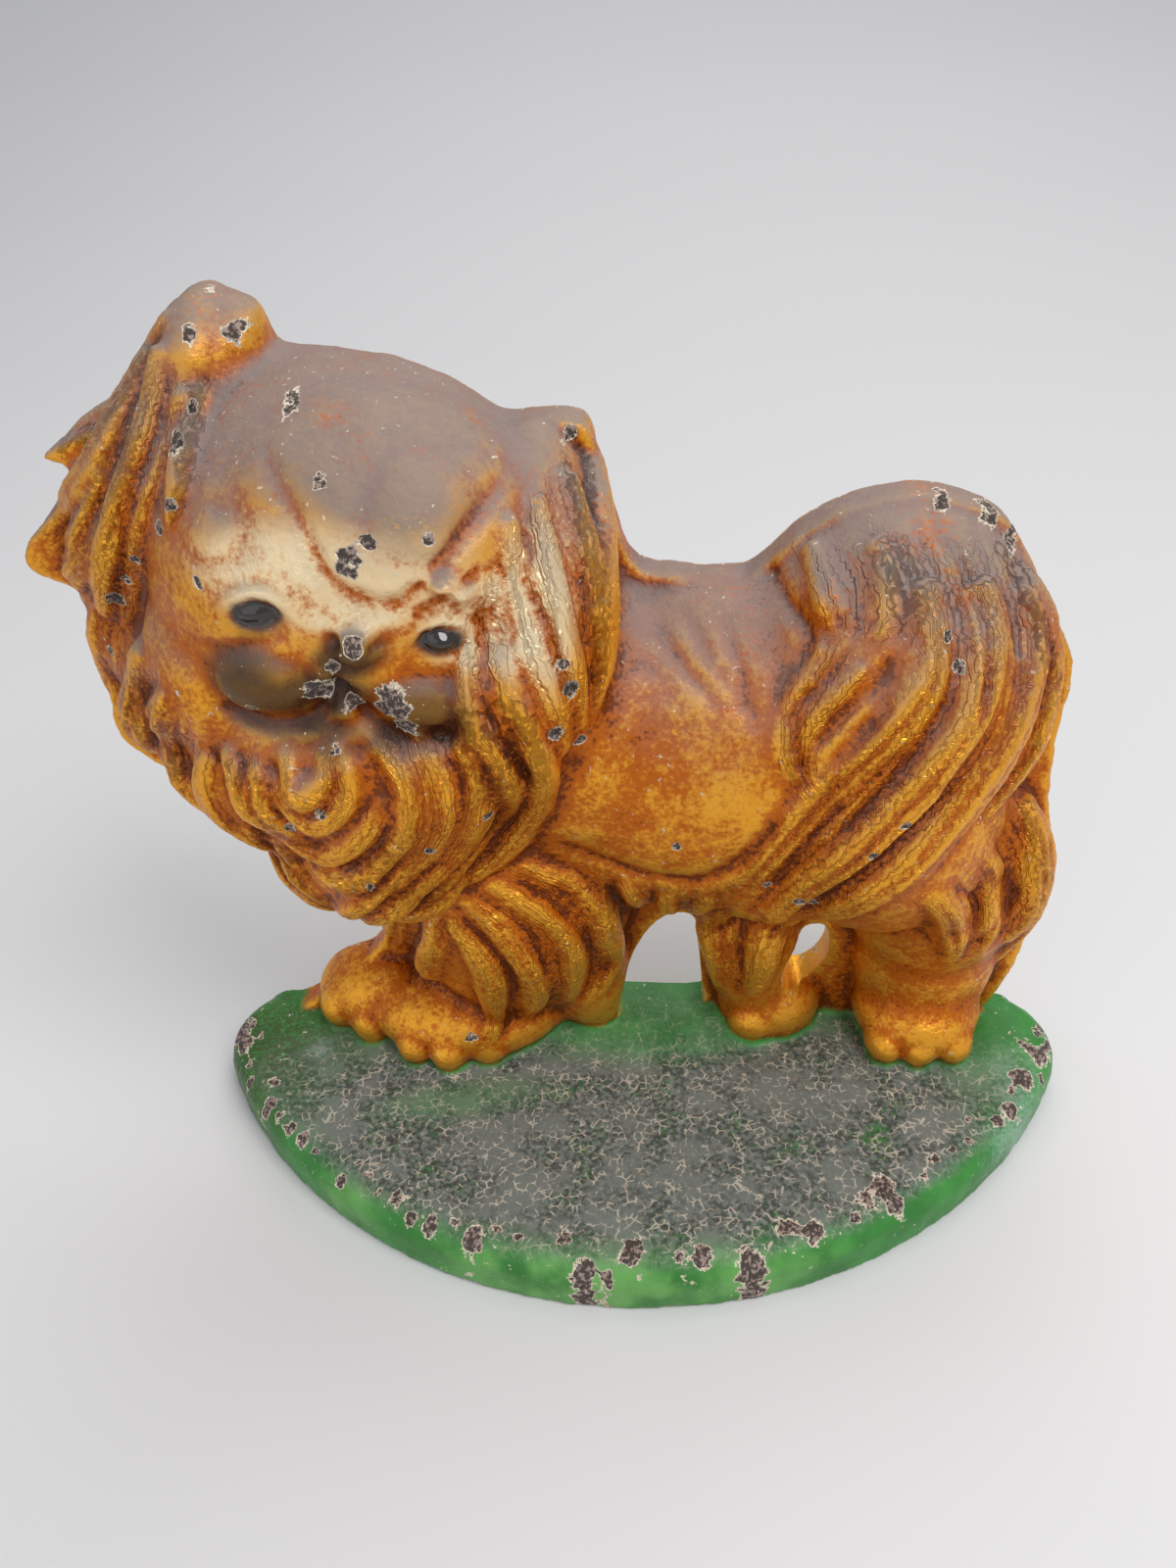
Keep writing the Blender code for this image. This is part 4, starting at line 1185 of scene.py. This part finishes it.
    def gloss(self):
        """Gilt paint shines like metal, dust with its painted sheen and soil are dull, and the eyes are
        glossy.
        """
        bronze = self.plus(0.3, self.times(self.gilt_and_highlight, 0.4))
        for other in (self.base, self.dust_and_sheen_share, self.blackened, self.bare, self.eyes):
            bronze = self.times(bronze, self.less(other))
        rough = self.plus(0.26, self.times(self.grain, 0.25), self.times(self.dust_and_sheen_share, 0.25))
        rough = self.plus(rough, self.times(self.worn, 0.3), self.times(self.bare, 0.35))
        rough = self.math("MULTIPLY", rough, self.less(self.times(self.eyes, 0.85)), clamp=True)
        self.link(bronze, self.bsdf.inputs["Metallic"])
        self.link(rough, self.bsdf.inputs["Roughness"])
        self.link(self.plus(0.25, self.times(self.eyes, 0.5)), self.bsdf.inputs["Specular IOR Level"])

    def relief(self):
        """Grain, fine hair and the edges of the chips."""
        lumps = self.bump(self.times(self.grain, self.less(self.eyes)), 0.0004, 0.5)
        lumps = self.bump(self.strands, 0.0005, 0.8, lumps)
        lumps = self.bump(self.less(self.step(self.loss, 0.71, 0.80)), 0.0003, 0.8, lumps)
        self.link(lumps, self.bsdf.inputs["Normal"])


def frame_shift(sizes):
    """From the middle of the flat back, where the dog is carved, to its place in the frame."""
    return (CAD_HIGH[0] - sizes.base_width / 2, CAD_HIGH[1], CAD_LOW[2])


class DOORSTOP_OT_casting(bpy.types.Operator):
    """Carves the dog and its base as one casting."""
    bl_idname = "doorstop.casting"
    bl_label = "Casting"

    def execute(self, context):
        sizes = context.scene.doorstop_casting
        carver = Carver(sizes)
        iron = WornPaint(context.scene.doorstop_paint).material
        bm = bmesh.new()
        carver.ellipsoids(bm, MASSES)
        dog = carver.mesh_object("casting", bm)
        one_skin(dog, 2 * sizes.voxel, MASS_ROUNDS)
        bm = carver.prism(OUTLINE, -sizes.flange, sizes.flange)
        carver.ellipsoids(bm, FEATURES)
        bm.from_mesh(locks_mesh(carver, iron))
        add_to(dog, bm)
        add_to(dog, carver.base())
        one_skin(dog, sizes.voxel, SKIN_ROUNDS)
        carve(dog, sizes)
        comb(dog, sizes)
        bm = bmesh.new()
        carver.ellipsoids(bm, EYES)
        add_to(dog, bm)
        one_skin(dog, sizes.voxel, 1)
        roughen(dog, sizes.rough_cast, sizes.grain_size)
        roughen(dog, sizes.dent_depth, sizes.dent_size)
        cut(dog, carver.box("behind", (-FAR, 2 * sizes.voxel, -FAR), (FAR, FAR, FAR)))
        thin_out(dog, sizes.triangles)
        cut(dog, carver.box("flat back", (-FAR, 0, -FAR), (FAR, FAR, FAR)))
        cut(dog, carver.box("floor", (-FAR, -FAR, -FAR), (FAR, FAR, 0)))
        for shape in (LEG_GAP, SMALL_GAP):
            bm = carver.prism(shape, -CUT_FRONT, CUT_BEHIND)
            for v in bm.verts:
                v.co.z = max(v.co.z, sizes.base_height)
            cut(dog, carver.mesh_object("gap", bm))
        cut(dog, self.core(carver))
        inner = carver.base_outline(sizes.wall)
        tray = carver.slab(inner, -sizes.wall, sizes.base_height - sizes.wall)
        cut(dog, carver.mesh_object("tray", tray))
        self.place(dog, carver, iron)
        return {"FINISHED"}

    def core(self, carver):
        """The core of the mould: the large masses less the wall, kept off the openings."""
        sizes = carver.sizes
        bm = bmesh.new()
        large = {name: mass for name, mass in MASSES.items() if min(mass[1]) > HOLLOW_FROM}
        carver.ellipsoids(bm, large, sizes.wall)
        core = carver.mesh_object("core", bm)
        one_skin(core, 2 * sizes.voxel, CORE_ROUNDS)
        thin_out(core, CORE_TRIANGLES)
        for shape in (LEG_GAP, SMALL_GAP):
            ring = np.array(shape, float)
            out = ring - ring.mean(axis=0)
            wide = ring + (sizes.wall / sizes.unit) * out / np.hypot(*out.T)[:, None]
            cut(core, carver.mesh_object("keep", carver.prism(wide, -CUT_FRONT, CUT_FRONT)))
        floor = sizes.base_height + sizes.wall
        cut(core, carver.box("floor", (-FAR, -FAR, -FAR), (FAR, FAR, floor)))
        return core

    def place(self, dog, carver, iron):
        """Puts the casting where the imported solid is, inside its box, and paints it."""
        paint_masks(dog, carver)
        places, _ = points_of(dog.data)
        places = np.clip(places + frame_shift(carver.sizes), CAD_LOW, CAD_HIGH)
        dog.data.vertices.foreach_set("co", places.ravel())
        dog.data.update()
        dog.data.materials.clear()
        dog.data.materials.append(iron)
        dog.data.shade_smooth()
        dog.data.set_sharp_from_angle(angle=radians(50))
        dog.name = "dog_casting"
        collection("doorstop").objects.link(dog)
        bpy.data.collections.remove(collection("workbench"))
        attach(dog, "root")
        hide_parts(NODE)


class DOORSTOP_OT_stage(bpy.types.Operator):
    """Puts down the floor, the lights and the camera."""
    bl_idname = "doorstop.stage"
    bl_label = "Stage"

    def execute(self, context):
        stage = context.scene.doorstop_stage
        self.floor(stage)
        self.lights(context, stage)
        self.camera(context, stage)
        return {"FINISHED"}

    def floor(self, stage):
        """A floor that sweeps up into a backdrop."""
        bm = bmesh.new()
        profile = [(-stage.reach, 0.0), (stage.bend_start, 0.0)]
        for a in np.linspace(0.1, pi / 2, 12):
            profile.append((stage.bend_start + stage.bend * sin(a), stage.bend - stage.bend * cos(a)))
        profile.append((stage.bend_start + stage.bend, stage.reach))
        rows = [[bm.verts.new((x, y, z)) for y, z in profile] for x in (-stage.reach, stage.reach)]
        for k in range(len(profile) - 1):
            bm.faces.new((rows[0][k], rows[1][k], rows[1][k + 1], rows[0][k + 1]))
        mesh = bpy.data.meshes.new("floor")
        bm.to_mesh(mesh)
        bm.free()
        mesh.shade_smooth()
        shader = Shader("pale paper")
        shader.bsdf.inputs["Base Color"].default_value = (*stage.floor, 1.0)
        shader.bsdf.inputs["Roughness"].default_value = 0.9
        mesh.materials.append(shader.material)
        floor = bpy.data.objects.new("floor", mesh)
        collection("stage").objects.link(floor)

    def lights(self, context, stage):
        """Soft lamps turned to the dog, and an even light from all round."""
        for name, place, size, power in LAMPS:
            data = bpy.data.lights.new(name, "AREA")
            data.size = size
            data.energy = power
            lamp = bpy.data.objects.new(name, data)
            lamp.location = place
            lamp.rotation_euler = (LAMP_AIM - lamp.location).to_track_quat("-Z", "Y").to_euler()
            collection("stage").objects.link(lamp)
        world = bpy.data.worlds.new("studio")
        world.use_nodes = True
        sky = world.node_tree.nodes["Background"]
        sky.inputs["Color"].default_value = (*stage.sky, 1.0)
        sky.inputs["Strength"].default_value = stage.sky_strength
        context.scene.world = world

    def camera(self, context, stage):
        """Looks at the dog from where the photograph was taken."""
        data = bpy.data.cameras.new("camera")
        data.sensor_fit = "VERTICAL"
        data.sensor_height = 36.0
        data.lens = stage.lens
        data.clip_start = 0.01
        camera = bpy.data.objects.new("camera", data)
        place = Vector(stage.stand_at) + Vector(frame_shift(context.scene.doorstop_casting))
        turn = Matrix.Rotation(stage.turn, 4, "Z") @ Matrix.Rotation(pi / 2 - stage.tilt, 4, "X")
        camera.matrix_world = Matrix.Translation(place) @ turn @ Matrix.Rotation(stage.roll, 4, "Z")
        collection("stage").objects.link(camera)
        context.scene.camera = camera
        context.scene.view_settings.view_transform = "Standard"


class DOORSTOP_PT_panel(bpy.types.Panel):
    """Lists the steps and their settings."""
    bl_label = "Doorstop"
    bl_idname = "DOORSTOP_PT_panel"
    bl_space_type = "VIEW_3D"
    bl_region_type = "UI"
    bl_category = "Doorstop"

    def draw(self, context):
        scene = context.scene
        for settings in (scene.doorstop_casting, scene.doorstop_paint, scene.doorstop_stage):
            box = self.layout.box()
            for name in settings.__annotations__:
                box.prop(settings, name)
        for step in STEPS:
            self.layout.operator(step.bl_idname)


SETTINGS = {
    "doorstop_casting": DoorstopCasting,
    "doorstop_paint": DoorstopPaint,
    "doorstop_stage": DoorstopStage,
}
STEPS = (DOORSTOP_OT_casting, DOORSTOP_OT_stage)


def register():
    for cls in (*SETTINGS.values(), *STEPS, DOORSTOP_PT_panel):
        bpy.utils.register_class(cls)
    for name, cls in SETTINGS.items():
        setattr(bpy.types.Scene, name, PointerProperty(type=cls))


def unregister():
    for name in SETTINGS:
        delattr(bpy.types.Scene, name)
    for cls in (DOORSTOP_PT_panel, *reversed(STEPS), *reversed(SETTINGS.values())):
        bpy.utils.unregister_class(cls)


def main():
    register()
    bpy.ops.doorstop.casting()
    bpy.ops.doorstop.stage()


if __name__ == "__main__":
    main()
